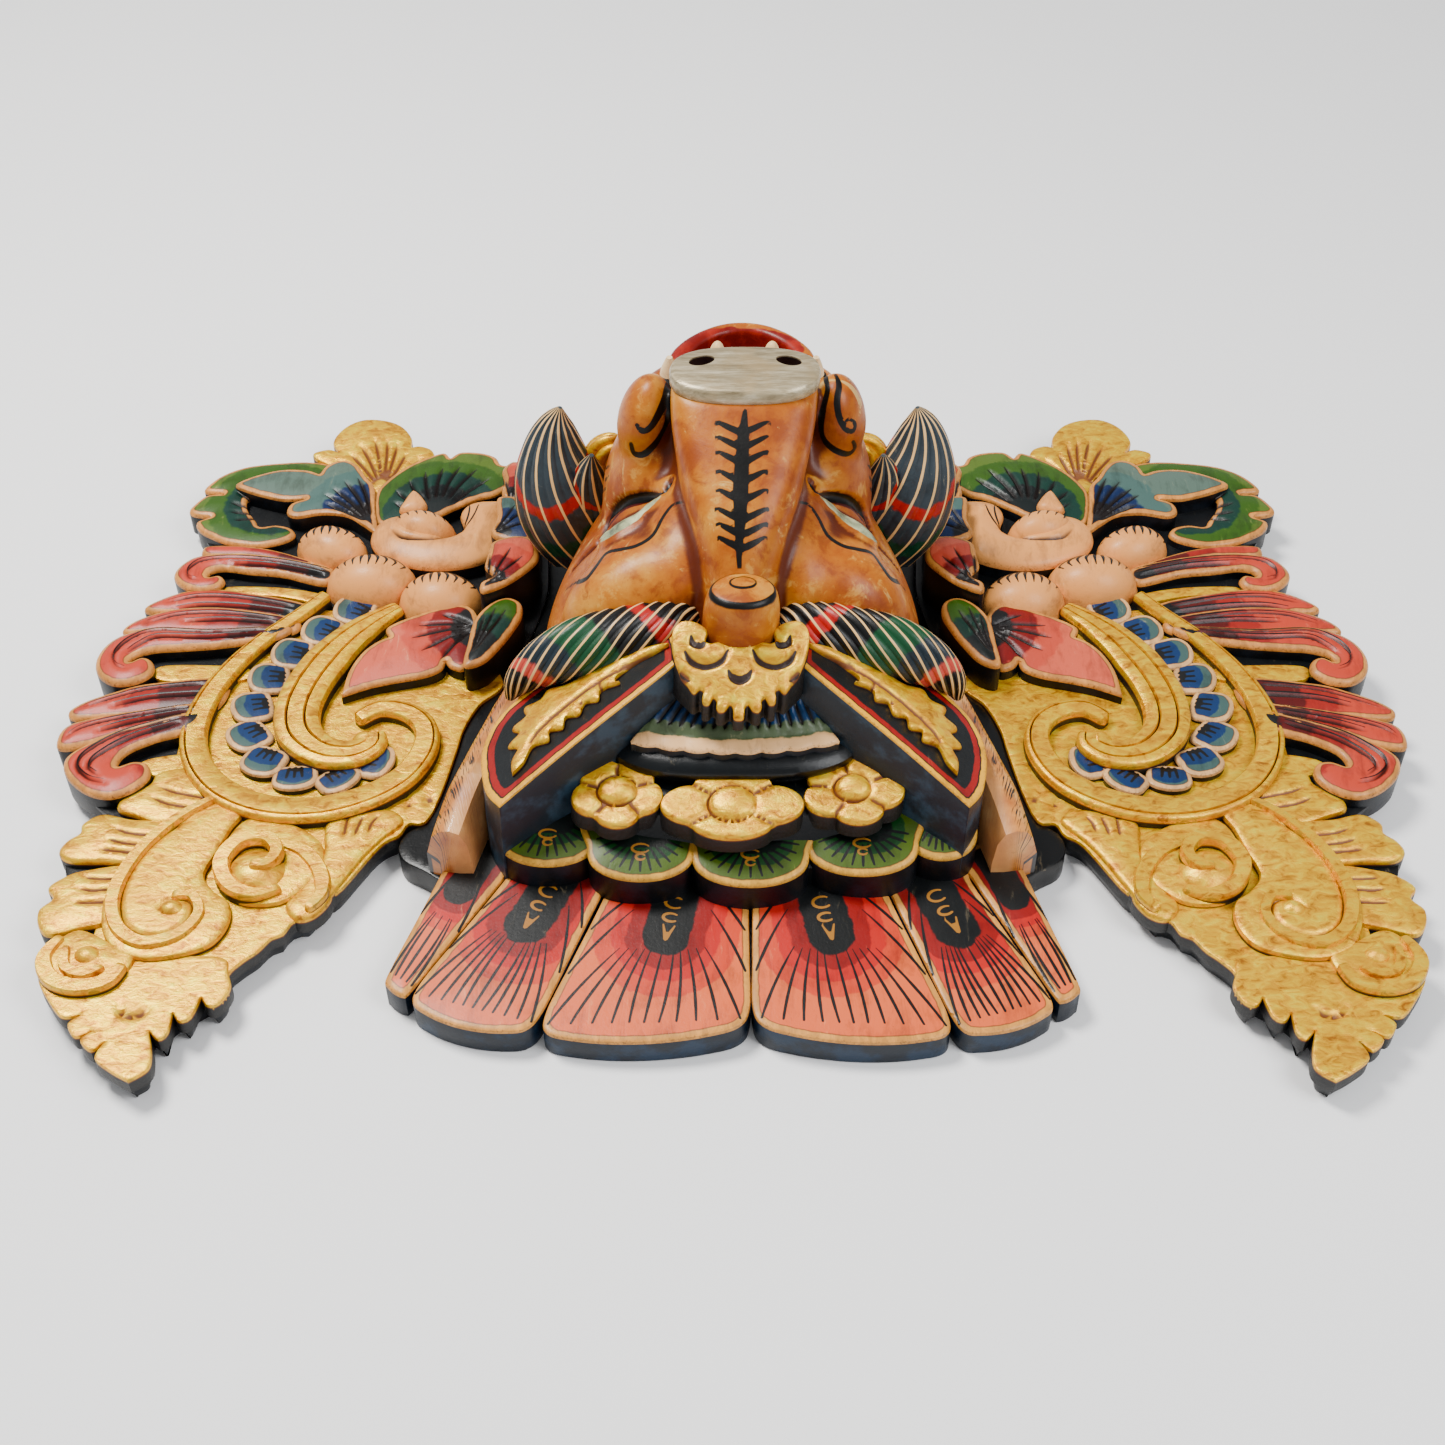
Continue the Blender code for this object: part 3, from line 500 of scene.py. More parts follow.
# Lacquered paint: colour zones from the root outwards, a lighter border, brush strokes, and darkening in the
# cuts that is partly dirt and partly painted shade
def paintedWood(name, zones, border=borderTan, borderWidth=2.4, ink=(0.012, 0.012, 0.014), wall=wallBlack,
                grimeAndShade=0.55, gloss=0.3, markColour=(0.50, 0.28, 0.06)):
    material, tree, shader, where = startMaterial(name)
    wobble = reckon(tree, "SUBTRACT", noise(tree, where, 180.0, 3.0), 0.5)
    fine = noise(tree, where, 900.0, 5.0, 0.65)
    soft = noise(tree, where, 60.0, 4.0, 0.6)
    grain = noise(tree, where, 220.0, 6.0, 0.7, stretch=(1.0, 0.22, 1.0), distort=0.6)
    edge = attribute(tree, "edge")
    groove = attribute(tree, "groove")
    root = reckon(tree, "ADD", attribute(tree, "root"), reckon(tree, "MULTIPLY", wobble, 0.16))
    colour = ramp(tree, reckon(tree, "MULTIPLY", root, 0.5, True), zones)
    tint = reckon(tree, "ADD", reckon(tree, "MULTIPLY", soft, 0.5), reckon(tree, "MULTIPLY", grain, 0.5))
    shade = ramp(tree, tint, [(0.3, (0.62, 0.58, 0.56)), (0.5, (1, 1, 1)), (0.72, (1.0, 1.0, 1.0))])
    colour = blend(tree, 1.0, colour, shade, "MULTIPLY")
    colour = blend(tree, span(tree, grain, 0.6, 0.78, 0.0, 0.35), colour, (0.95, 0.78, 0.52))
    if borderWidth:
        rim = reckon(tree, "ADD", edge, reckon(tree, "MULTIPLY", wobble, 1.3))
        rimColour = blend(tree, span(tree, grain, 0.35, 0.7), tuple(c * 0.72 for c in border), border)
        colour = blend(tree, span(tree, rim, borderWidth + 0.18, borderWidth - 0.18), colour, rimColour)
        line = reckon(tree, "SUBTRACT", rim, borderWidth)
        line = reckon(tree, "ABSOLUTE", line)
        colour = blend(tree, span(tree, line, 0.45, 0.0, 0.0, 0.55), colour, (0.16, 0.05, 0.02))
    stroke = reckon(tree, "ADD", attribute(tree, "stroke"), reckon(tree, "MULTIPLY", wobble, 0.35))
    colour = blend(tree, span(tree, stroke, 0.14, -0.1), colour, ink)
    mark = reckon(tree, "ADD", attribute(tree, "mark"), reckon(tree, "MULTIPLY", wobble, 0.35))
    colour = blend(tree, span(tree, mark, 0.14, -0.1), colour, markColour)
    # Darker in the carved cuts and ridge valleys: partly dirt, partly painted shade where the cuts would lie in
    # shadow
    dirtAndShade = reckon(tree, "MULTIPLY", groove, reckon(tree, "ADD", soft, 0.35), True)
    colour = blend(tree, span(tree, dirtAndShade, 0.15, 0.75, 0.0, grimeAndShade + 0.25), colour, (0.035, 0.012, 0.006))
    close = reckon(tree, "MULTIPLY", span(tree, edge, 1.6, 0.0), span(tree, fine, 0.5, 0.7))
    colour = blend(tree, reckon(tree, "MULTIPLY", close, 0.5), colour, (0.10, 0.035, 0.012))
    flecks = span(tree, fine, 0.70, 0.76)
    colour = blend(tree, reckon(tree, "MULTIPLY", flecks, 0.45), colour, (0.07, 0.03, 0.015))
    side = span(tree, edge, -0.35, -0.6)
    sideColour = blend(tree, span(tree, soft, 0.45, 0.62), wall, tuple(min(1, c * 2.2 + 0.01) for c in wall))
    colour = deepen(tree, blend(tree, side, colour, sideColour), 1.6)
    tree.links.new(colour, shader.inputs["Base Color"])
    rough = reckon(tree, "ADD", reckon(tree, "MULTIPLY", soft, 0.22), gloss)
    tree.links.new(rough, shader.inputs["Roughness"])
    shader.inputs["Specular IOR Level"].default_value = 0.3
    shader.inputs["Coat Weight"].default_value = 0.07
    shader.inputs["Coat Roughness"].default_value = 0.15
    height = reckon(tree, "ADD", reckon(tree, "MULTIPLY", grain, 0.7), reckon(tree, "MULTIPLY", fine, 0.5))
    bump(tree, shader, height, 0.5, 0.00035)
    return material


# Worn gold leaf over a red-brown ground that shows in the cuts and along scratches, with walls going near black
# at their feet, partly black paint and partly painted shadow
def gilded(name, wall=(0.008, 0.007, 0.007)):
    material, tree, shader, where = startMaterial(name)
    soft = noise(tree, where, 55.0, 4.0, 0.6)
    fine = noise(tree, where, 750.0, 6.0, 0.7)
    leaf = noise(tree, where, 240.0, 5.0, 0.62, stretch=(0.7, 1.2, 1.0), distort=0.8)
    scratch = noise(tree, where, 420.0, 3.0, 0.6, stretch=(0.16, 1.6, 1.0), distort=0.4)
    edge = attribute(tree, "edge")
    groove = attribute(tree, "groove")
    colour = ramp(tree, leaf, [(0.30, (0.50, 0.22, 0.003)), (0.44, (0.86, 0.50, 0.006)),
                               (0.57, (1.0, 0.70, 0.010)), (0.72, (1.0, 0.86, 0.10))])
    colour = blend(tree, span(tree, soft, 0.52, 0.68, 0.0, 0.55), colour, (0.74, 0.40, 0.010))
    ground = (0.20, 0.055, 0.015)
    worn = reckon(tree, "MULTIPLY", groove, reckon(tree, "ADD", leaf, 0.45), True)
    mask = span(tree, worn, 0.25, 0.75, 0.0, 0.92)
    mask = reckon(tree, "MAXIMUM", mask, reckon(tree, "MULTIPLY", span(tree, fine, 0.66, 0.74), 0.5))
    mask = reckon(tree, "MAXIMUM", mask, reckon(tree, "MULTIPLY", span(tree, scratch, 0.74, 0.8), 0.5))
    nearRim = reckon(tree, "MULTIPLY", span(tree, edge, 0.9, 0.0), span(tree, leaf, 0.5, 0.62))
    mask = reckon(tree, "MAXIMUM", mask, reckon(tree, "MULTIPLY", nearRim, 0.6))
    below = span(tree, edge, -0.3, -0.9)
    mask = reckon(tree, "MAXIMUM", mask, reckon(tree, "MULTIPLY", below, 0.95))
    line = span(tree, attribute(tree, "stroke"), 0.15, -0.15)
    mask = reckon(tree, "MAXIMUM", mask, line)
    colour = blend(tree, mask, colour, ground)
    colour = blend(tree, line, colour, (0.05, 0.018, 0.008))
    # Near black towards the walls' feet: partly black paint, partly painted shadow where the gold meets what
    # lies below
    deep = span(tree, edge, -0.8, -1.6)
    colour = blend(tree, 1.0, blend(tree, deep, colour, wall), (0.92, 0.88, 0.8), "MULTIPLY")
    colour = deepen(tree, colour, 1.3)
    tree.links.new(colour, shader.inputs["Base Color"])
    metal = reckon(tree, "MULTIPLY", reckon(tree, "SUBTRACT", 1.0, mask), 0.55)
    tree.links.new(metal, shader.inputs["Metallic"])
    rough = reckon(tree, "ADD", reckon(tree, "MULTIPLY", soft, 0.3), reckon(tree, "MULTIPLY", mask, 0.2))
    tree.links.new(reckon(tree, "ADD", rough, 0.2), shader.inputs["Roughness"])
    height = reckon(tree, "ADD", leaf, reckon(tree, "MULTIPLY", fine, 0.4))
    height = reckon(tree, "SUBTRACT", height, reckon(tree, "MULTIPLY", span(tree, scratch, 0.7, 0.8), 0.6))
    bump(tree, shader, height, 0.65, 0.0006)
    return material


# Colour zones with short soft borders, placed by distance from the root, 1 being the leaf's reach
def zonesOf(*pairs):
    stops = []
    for i, (start, colour) in enumerate(pairs):
        if i:
            stops.append((start * 0.5 - 0.008, pairs[i - 1][1]))
        stops.append((start * 0.5 + (0.008 if i else 0), colour))
    return stops


charcoal = (0.018, 0.022, 0.026)
materials = {
    "gold": gilded("gold_leaf"),
    "black": paintedWood("black_lacquer", [(0, (0.010, 0.014, 0.018)), (1, (0.012, 0.018, 0.024))],
                         borderWidth=0),
    "red": paintedWood("red_leaf_paint", zonesOf(
        (0, charcoal), (0.26, (0.20, 0.018, 0.014)), (0.50, (0.45, 0.055, 0.035)),
        (0.72, (0.62, 0.13, 0.075)))),
    "pink": paintedWood("pink_leaf_paint", zonesOf(
        (0, charcoal), (0.30, (0.34, 0.022, 0.018)), (0.55, (0.64, 0.16, 0.10)), (0.8, (0.70, 0.22, 0.14)))),
    "green": paintedWood("green_leaf_paint", zonesOf(
        (0, (0.010, 0.030, 0.030)), (0.42, (0.004, 0.10, 0.075)), (0.66, (0.10, 0.20, 0.02)),
        (0.9, (0.19, 0.27, 0.06)))),
    "blue": paintedWood("blue_leaf_paint", zonesOf(
        (0, (0.008, 0.016, 0.030)), (0.28, (0.006, 0.06, 0.17)), (0.62, (0.15, 0.24, 0.22)),
        (0.9, (0.20, 0.27, 0.23)))),
    "scale": paintedWood("blue_scale_paint", zonesOf(
        (0, (0.010, 0.014, 0.02)), (0.22, (0.010, 0.09, 0.22)), (0.60, (0.13, 0.21, 0.20)),
        (0.8, (0.17, 0.24, 0.21))), border=(0.86, 0.60, 0.34), borderWidth=2.2),
    "tan": paintedWood("tan_paint", [(0, (0.72, 0.36, 0.13)), (0.4, (0.85, 0.50, 0.22)),
                                     (1, (0.84, 0.48, 0.20))],
                       borderWidth=0, grimeAndShade=0.6),
}

# Wing outlines, as distance from the middle line and y
seam = [
    (100, 158), (93, 148), (86, 134), (84, 118), (83, 100), (82, 80), (84, 64), (87, 50), (90, 36), (97, 20),
    (106, 6), (111, -8), (113, -22), (117, -46), (121.5, -60)]
lowerEdge = [
    (128, -61), (131, -67), (138, -73), (150, -95), (155, -99), (158, -106), (161, -110), (166, -111),
    (169, -117), (173, -119), (177, -125), (182, -130), (186, -136), (184, -143), (187, -150), (191, -151),
    (194, -147), (194, -147), (196, -156), (200, -158), (203, -154), (203, -154), (203, -163), (206, -166),
    (210, -162), (210, -162), (207, -172), (207, -179), (213, -184), (213, -184), (220, -180), (227, -174),
    (225, -167), (225, -167), (229, -171), (234, -166), (230, -162), (230, -162), (236, -165), (240, -159),
    (236, -155), (236, -155), (243, -156)]
outerEdge = [
    (250, -148), (255, -139), (256, -130), (252, -121), (259, -114), (260, -99), (257, -91), (260, -78),
    (254, -66), (247, -58), (256, -49), (266, -38), (272, -20), (272, -6), (268, 8), (262, 14), (266, 30),
    (262, 46), (254, 58), (250, 68), (245, 76), (246, 90), (239, 99), (237, 107), (244, 120), (248, 133),
    (244, 146), (234, 157), (220, 164), (200, 166), (197, 172), (188, 174), (186, 188), (177, 194), (166, 193),
    (158, 187), (152, 176), (142, 170), (133, 170), (118, 169), (109, 164)]

redFans = {
    "f0": (3.5, [(178, 90), (200, 101), (218, 106), (236, 106.5), (240, 103), (236, 98), (215, 97), (198, 92)],
           (176, 84), []),
    "f1": (5.6, [(178, 88), (200, 96), (222, 99), (239, 97.5), (246, 92), (248.5, 84), (244, 77), (236, 73.5),
                 (228, 75), (225, 80), (228, 84), (233, 83), (232, 86.5), (226, 88), (215, 86), (200, 84),
                 (180, 78)],
           (174, 78), [((178, 86), (200, 92), (222, 95), (236, 93), (242, 87), (241, 81), (236, 79)),
                       ((180, 82), (200, 88), (215, 90), (226, 91))]),
    "f2a": (4.0, [(186, 66), (212, 74), (232, 77), (246, 73.5), (257, 65.5), (255, 61), (240, 60), (220, 58),
                  (190, 54)],
            (184, 52), [((190, 63), (214, 69), (234, 70), (248, 66)),
                        ((192, 59), (214, 63), (232, 64), (244, 62))]),
    "f2b": (5.2, [(190, 56), (220, 63), (242, 62.5), (256, 57), (263, 50.5), (262, 46), (248, 46), (228, 45),
                  (192, 46)],
            (184, 44), [((196, 54), (220, 58), (240, 57), (254, 51)), ((196, 51), (218, 53), (238, 52))]),
    "f2c": (6.4, [(192, 50), (225, 48.5), (248, 49.5), (261, 45), (268, 38), (270.5, 28), (267.5, 19),
                  (260, 13.5), (251, 14.5), (245, 20), (246, 27), (251, 30), (256, 27), (254, 31), (246, 34),
                  (235, 35), (218, 37), (196, 42)],
            (186, 40), [((196, 47), (225, 45), (248, 46), (258, 40), (263, 31), (261, 24), (256, 21)),
                        ((200, 44), (225, 41), (246, 41), (254, 36), (258, 31))]),
    "f3a": (4.2, [(214, 19), (245, 16.5), (260, 11), (271, 5), (276, -1), (272, -5.5), (258, -4.5), (240, -3),
                  (216, 0)],
            (208, 6), [((220, 15), (244, 12), (260, 6), (270, 1)), ((220, 8), (242, 6), (258, 1))]),
    "f3b": (5.3, [(218, 4), (250, -1.5), (266, -6), (274, -10), (276.5, -17), (274, -23.5), (262, -21.5),
                  (246, -14), (220, -6)],
            (208, 0), [((224, 1), (250, -6), (266, -12), (272, -18)), ((224, -3), (246, -9), (260, -15))]),
    "f3c": (6.4, [(220, -2), (248, -11.5), (263, -21.5), (270, -30), (267.5, -39.5), (258, -48.5), (248, -51.5),
                  (239, -47.5), (234, -40), (236, -33), (242, -31.5), (248, -34), (246, -27), (236, -20),
                  (220, -13)],
            (210, -4), [((226, -6), (248, -15), (260, -25), (264, -34), (258, -42), (250, -45)),
                        ((226, -10), (245, -19), (256, -29), (259, -36), (254, -41))]),
}

goldLeaves = {
    "rim1": (3.6, [(206, -42), (214, -36), (221, -32), (232, -35), (234, -41), (240, -46), (244, -50),
                   (244, -55), (236, -58.5), (226, -62), (214, -60)], [((206, -50), (222, -47), (230, -43)),
                                                           ((212, -55), (224, -53), (232, -49))]),
    "rim2": (4.1, [(222, -64), (238, -60.5), (249, -58), (256, -63), (256, -68), (260, -72), (262, -78),
                   (257, -82.5), (245, -83), (230, -82)], [((226, -70), (236, -69), (243, -66)),
                                                           ((230, -75), (238, -74), (244, -72)),
                                             ((232, -79), (240, -78), (246, -77))]),
    "rim3": (3.7, [(232, -86), (250, -87), (258, -91), (262, -96), (259, -101), (263, -107), (261, -115),
                   (256, -119), (246, -116), (234, -110)], [((236, -92), (243, -92), (249, -91)),
                                                            ((236, -97), (244, -98), (250, -97)),
                                                            ((236, -103), (243, -104), (250, -104))]),
    "rootLeaf": (3.4, [(160, -62), (150, -57), (136, -55), (130, -61), (137, -70), (143, -79), (150, -93),
                       (156, -103), (160, -92), (159, -78)], [((140, -59), (142, -63), (143, -68)),
                                                              ((146, -59), (147, -64), (148, -70)),
                                                              ((152, -60), (152, -64), (152, -70))]),
    "longScroll": (5.0, [(202, -52), (215, -58), (228, -70), (236, -85), (239, -103), (236, -118), (229, -127),
                         (218, -131), (204, -129), (194, -124), (189.5, -114), (191, -104), (198, -98),
                         (203, -90), (200, -78), (197, -66), (194, -58)], []),
    "corner": (4.4, [(222, -128), (230, -124), (244, -117), (252, -122), (256, -132), (250, -142),
                     (240, -146.5), (229, -144), (223, -136)], []),
    "snail": (4.2, [(190, -60), (198, -72), (200, -86), (196, -96), (187, -103.5), (174, -104), (165, -98),
                    (159, -88), (160, -74), (172, -64)], []),
    "wingLeaf": (3.0, [(178, -70), (164, -79), (156, -90), (153, -100), (158, -109), (165, -111), (170, -104),
                       (166, -96), (168, -86)], []),
}


# A flat band with rounded shoulders and cuts along it, as (place across, rise, cut)
def bandProfile(cutsAt, cutWidth=0.09, cutRise=0.72, shoulder=0.7):
    places = [(-1.0, shoulder, 0.35), (-0.93, 0.9, 0), (-0.8, 0.98, 0)]
    for at in cutsAt:
        places += [(at - cutWidth, 1.0, 0), (at, cutRise, 1), (at + cutWidth, 1.0, 0)]
    places += [(0.8, 0.98, 0), (0.93, 0.9, 0), (1.0, shoulder, 0.35)]
    return sorted(places)


goldWork = {
    "field": [(205, -146), (238, -130), (236, -80), (228, -40), (226, 0), (214, 34), (190, 64), (150, 60),
              (120, 50), (112, 44)],
    "teeth": [(128, -55), (134, -62), (141, -66), (120, -52)],
    "tipNear": [(222, -130), (205, -128), (189, -129)],
    "tipFar": [(250, -148), (255.5, -139), (256, -130), (250, -121), (240, -119), (232, -124)],
    "crescent": [(212, -152), (214.5, -155), (218, -156), (221.5, -154.5), (223, -151)],
    "notches": [[(205, -160), (208, -156)], [(212, -168), (213, -162)], [(220, -167), (219, -162)],
                [(197, -151), (201, -148)], [(228, -161), (225, -157)]],
    "scrollCut": [(214, -62), (224, -71), (231, -85), (233, -101), (229, -115), (220, -121), (210, -120),
                  (204, -113), (205, -105), (212, -103), (216, -107)],
    "shell": [(165, 143), (178, 155), (190, 163.5), (198, 169), (199, 173), (192, 175.5), (187, 173),
              (187, 173), (191, 181), (187, 191), (179, 197), (169, 197), (160, 193), (154, 185), (153, 177),
              (153, 177), (149, 178), (143, 175), (142, 169), (150, 160), (158, 150)],
    "shellRays": [(146, 172), (154, 176), (160, 184), (166, 187), (173, 187), (180, 182), (185, 175),
                  (192, 170)],
    "bars": [[(224, 79.5), (224, 75), (200, 73), (180, 68), (180, 74), (200, 79)],
             [(244, 28), (243, 20), (224, 18.5), (206, 20), (206, 27), (224, 29)],
             [(218, -24), (238, -27), (241, -35), (220, -35)]],
    "arc": [(178, 71), (187, 59), (201, 42), (212, 24), (219, 5), (221, -14), (216, -32), (204, -47),
            (186, -56), (166, -57.5), (148, -52), (133, -41), (125.5, -26), (126, -12), (134, -3), (146, -0.5),
            (155, -7)],
    "innerArc": [(145, 63), (158, 50), (169, 34), (177, 15), (180, -2), (177, -16), (167, -26), (155, -28),
                 (147, -23), (147, -16)],
    "scrolls": [
        ([(206, -52), (219, -63), (230, -80), (235, -100), (231, -116), (220, -124.5), (207, -121), (201, -111),
          (205, -102), (213, -102)], [1.4, 2.4, 2.8, 2.8, 2.4, 1.8], 7.6),
        ([(250, -121), (254.5, -131), (250, -140.5), (240, -144.5), (229, -142), (224.5, -134)],
         [1.6, 3.2, 3.4, 3.2, 2.2], 6.6),
        ([(247, -126), (245.5, -136), (238, -139.5), (231, -136)], [1.2, 2.2, 2.2, 1.2], 7.6),
        ([(178, -74), (166, -79), (158.5, -89), (156.5, -100), (161, -108)], [1.6, 3.2, 3.2, 1.8], 6.4)],
    "bosses": [((212, -108), (6.5, 5.5, 8.4)), ((239, -130), (6.5, 6, 7.6)), ((183, -89), (13, 12.5, 10))],
    "snail": [(172, -98), (182, -101.5), (192, -97), (196.5, -86), (191, -76), (181, -75), (175.5, -82),
              (178, -89), (185, -90)]}

# Leaves with carved and painted rays. Where a leaf has no targets, its rays run to its own outline.
rayLeaves = {
    "pink": [
        {"outline": [(163, 6), (162, 19), (158, 30), (152.5, 37), (147, 40.5), (147, 40.5), (149, 45),
                     (145, 49), (138, 53), (127, 58), (117, 60), (110.5, 54), (109, 40), (110, 28), (113.5, 21),
                     (119, 22.5), (121.5, 26), (121.5, 26), (123, 21), (130, 17), (142, 14), (152, 11),
                     (163, 6)],
         "targets": [(124, 26), (133, 30), (138, 38), (136, 46), (126, 53)], "start": (110, 46),
         "rays": (0.03, 0.1, 0.95, 1.0, 1.3), "brush": (0.5, 0.1), "top": 8.5, "slope": (0, 0.05), "bulge": 1.5,
         "root": (108, 46), "reach": 42},
        {"outline": [(104, 132), (105.5, 140), (102, 146), (97, 146), (92, 144), (88, 139), (87, 130),
                     (90, 122), (97, 118), (104, 122)],
         "targets": [], "start": (100, 116), "rays": (0.02, 0.1, 0.9, 0.8, 0.9), "brush": (0.4, 0.1), "top": 21,
         "bulge": 2.0, "root": (100, 116), "reach": 32},
        {"outline": [(107, 79), (106, 87), (100, 91), (93, 92), (88, 89.5), (85, 84), (85, 75), (92, 65),
                     (99, 58.5), (107, 54.5), (108.5, 60), (104, 66), (107.5, 71)],
         "targets": [], "start": (106, 60), "rays": (0.02, 0.1, 0.9, 0.8, 0.9), "brush": (0.4, 0.1), "top": 22,
         "bulge": 2.0, "root": (106, 60), "reach": 32}],
    "green": [
        {"outline": [(188, 163), (200, 167), (216, 166), (230, 163), (240, 156.5), (246, 147.5), (245, 144),
                     (237, 143), (237, 143), (244.5, 141.5), (249, 135), (250.5, 130), (247, 127), (240, 126),
                     (240, 126), (245.5, 122), (243, 116), (237, 111.5), (228, 107), (215, 105), (204, 108),
                     (199, 113), (202, 118), (209, 120), (216, 119), (219, 124), (224, 132), (224, 141),
                     (210, 150), (195, 153)],
         "targets": [(232, 121), (235, 128), (236, 136), (234, 145), (226, 153), (214, 158), (200, 160)],
         "start": (205, 133), "rays": (-0.05, 0.35, 0.86, 1.0, 1.3), "brush": (0.5, 0.12), "top": 5.0,
         "bulge": 1.6, "root": (212, 134), "reach": 34},
        {"outline": [(160, 118), (165, 130), (165.5, 142), (161, 152), (154, 161), (145, 168), (137, 172),
                     (133.5, 168), (133.5, 168), (129, 172.5), (119, 172), (112, 168.5), (109, 163),
                     (104, 161.5), (101, 155), (103, 147), (110, 140), (118, 137), (128, 130), (140, 122)],
         "targets": [(158, 134), (158, 144), (152, 153), (144, 160), (135, 163), (126, 164), (117, 161),
                     (110, 153)],
         "start": (135, 124), "rays": (-0.06, 0.3, 0.88, 1.1, 1.5), "brush": (0.55, 0.12), "top": 6.6,
         "bulge": 2.0, "root": (134, 128), "reach": 40},
        {"outline": [(112, 15), (111.5, 30), (110, 44), (104, 54), (97, 57.5), (91, 54), (90, 46), (92.5, 38),
                     (97, 28), (104, 17)],
         "targets": [(96, 50), (101, 52), (106, 48)], "start": (110, 20), "rays": (0.02, 0.1, 0.92, 0.8, 1.0),
         "brush": (0.4, 0.1), "top": 16.0, "bulge": 2.0, "root": (111, 16), "reach": 46}],
    "blue": [
        {"outline": [(231, 145), (224, 151), (212, 156), (200, 156), (193, 153), (193, 153), (191.5, 158),
                     (188, 162), (182, 163.5), (176, 159.5), (171, 151), (166, 143), (164, 128), (161, 111),
                     (168, 116), (176, 122.5), (188, 124), (199, 121.5), (204, 124.5), (203, 131), (197, 134.5),
                     (197, 134.5), (207, 134), (217, 137), (226, 141)],
         "targets": [(176, 152), (182, 148), (187, 142), (190, 137), (188, 130)], "start": (165, 117),
         "rays": (0.05, 0.12, 0.92, 1.2, 1.7), "brush": (0.6, 0.12), "top": 8.8, "bulge": 1.4,
         "root": (165, 122), "reach": 38},
        {"outline": [(106, 119), (98, 120), (95, 116), (89, 114), (86.5, 105), (86, 93), (92, 88), (102, 90),
                     (107, 95), (105, 105)],
         "targets": [(92, 110), (97, 114), (90, 101)], "start": (106, 94), "rays": (0.02, 0.1, 0.92, 0.8, 1.1),
         "brush": (0.45, 0.1), "top": 21.5, "bulge": 2.0, "root": (106, 92), "reach": 30}]}

clouds = {
    "body": [(104, 131), (113, 133.5), (121, 131), (124.5, 124), (122, 114), (127, 109), (134, 112), (143, 122),
             (155, 122), (162, 116), (163.5, 106), (159, 97), (150, 91), (138, 87), (124, 87), (112, 91),
             (105, 98), (103, 113)],
    "bodyCut": [(123, 116), (127, 108), (136, 102), (148, 103), (154, 109)],
    "bodyCurls": [(121, 130), (116, 127)],
    "brow": ((141, 113), (16.5, 11, 17), 10), "browHairs": (129, 133, 137, 141, 145, 149, 153),
    "lobe": [(147, 139), (151, 131), (152, 124), (143, 124), (140, 129)],
    "domes": [((181, 104), (17, 12.5, 14), 20), ((160, 80), (20.5, 15, 17), 0), ((128, 68), (19, 15, 17), 5)]}

scaleRow = {
    "path": [(163, 66), (177, 51), (190, 33), (198.5, 13), (200.5, -9), (193, -27), (177, -38.5), (160, -40),
             (146, -32), (138, -19)],
    "outline": [(-0.5, -0.75), (-0.1, -1.0), (0.22, -0.95), (0.42, -0.6), (0.5, 0.0), (0.42, 0.6), (0.22, 0.95),
                (-0.1, 1.0), (-0.5, 0.75)],
    "count": 10, "half": 9.2, "centre": (165, 5), "trail": 0.45}


def softCuts(lines, width, deep):
    return [(curve(line, closed=False), width, deep) for line in lines]


def goldScrolls(store, side):
    work = goldWork
    field = seam[9:] + lowerEdge[:18] + work["field"]
    teeth = [(np.array([(x + 3, y + 9), (x + 1, y + 4), (x, y - 3)], float), 1.1, 1.3) for x,
             y in work["teeth"]]
    carve(store, field, 1.6, root=-5, step=1.8, bevel=0.7, side=side, grooves=teeth)
    tip = work["tipNear"] + lowerEdge[12:] + work["tipFar"]
    cutLines = [(np.array(work["crescent"], float), 1.3, 2.0)]
    cutLines += [(np.array(line, float), 0.8, 0.9) for line in work["notches"]]
    carve(store, tip, 2.6, root=-5, step=1.4, bevel=0.8, side=side, grooves=cutLines)
    for name, (top, outline, lines) in goldLeaves.items():
        grooves = softCuts(lines, 0.8, 1.1)
        if name == "longScroll":
            grooves = softCuts([work["scrollCut"]], 1.3, 2.2)
        carve(store, outline, top, root=-5, bevel=1.4, bulge=1.2, side=side, grooves=grooves)
    shellRays = rays((164, 146), work["shellRays"], 0.03, 0.16, 0.86, 1.1, 1.6)
    carve(store, work["shell"], 6.0, root=-5, slope=(0, 0.06), bevel=1.4, bulge=1.0, side=side,
          grooves=shellRays)
    for bar in work["bars"]:
        carve(store, bar, 3.0, root=-5, bevel=0.8, side=side)
    sweep(store, work["arc"], [2.8, 4, 5.6, 6.2, 6.2, 5.4, 3.6], 7.6, bandProfile([0.55]), side=side)
    sweep(store, work["innerArc"], [3.5, 7.5, 10, 10, 9.5, 7.5, 5.5], [7, 8.5, 9, 9, 9, 9],
          bandProfile([-0.35, 0.42], 0.07), side=side)
    dome(store, (150, -19), (7, 6.5, 9), side=side)
    for path, widths, height in work["scrolls"]:
        sweep(store, path, widths, height, bandProfile([]), side=side, step=1.2)
    for middle, radii in work["bosses"]:
        dome(store, middle, radii, side=side)
    sweep(store, work["snail"], [1.6, 3, 3.4, 3.2, 2.8, 2.0], [7.5, 9, 11, 12], bandProfile([]), side=side,
          step=1.2)


def fanLeaves(store, side):
    for top, outline, rootAt, lines in redFans.values():
        strokes = []
        for line in lines:
            shifted = curve(line, closed=False)[2:-1] + np.array([0.3, 1.7])
            strokes.append((shifted, [0.3, 0.38, 0.3, 0.1]))
        carve(store, outline, top, bulge=2.2, grooves=softCuts(lines, 0.95, 1.5), strokes=strokes,
              rootAt=rootAt, reach=62, side=side)


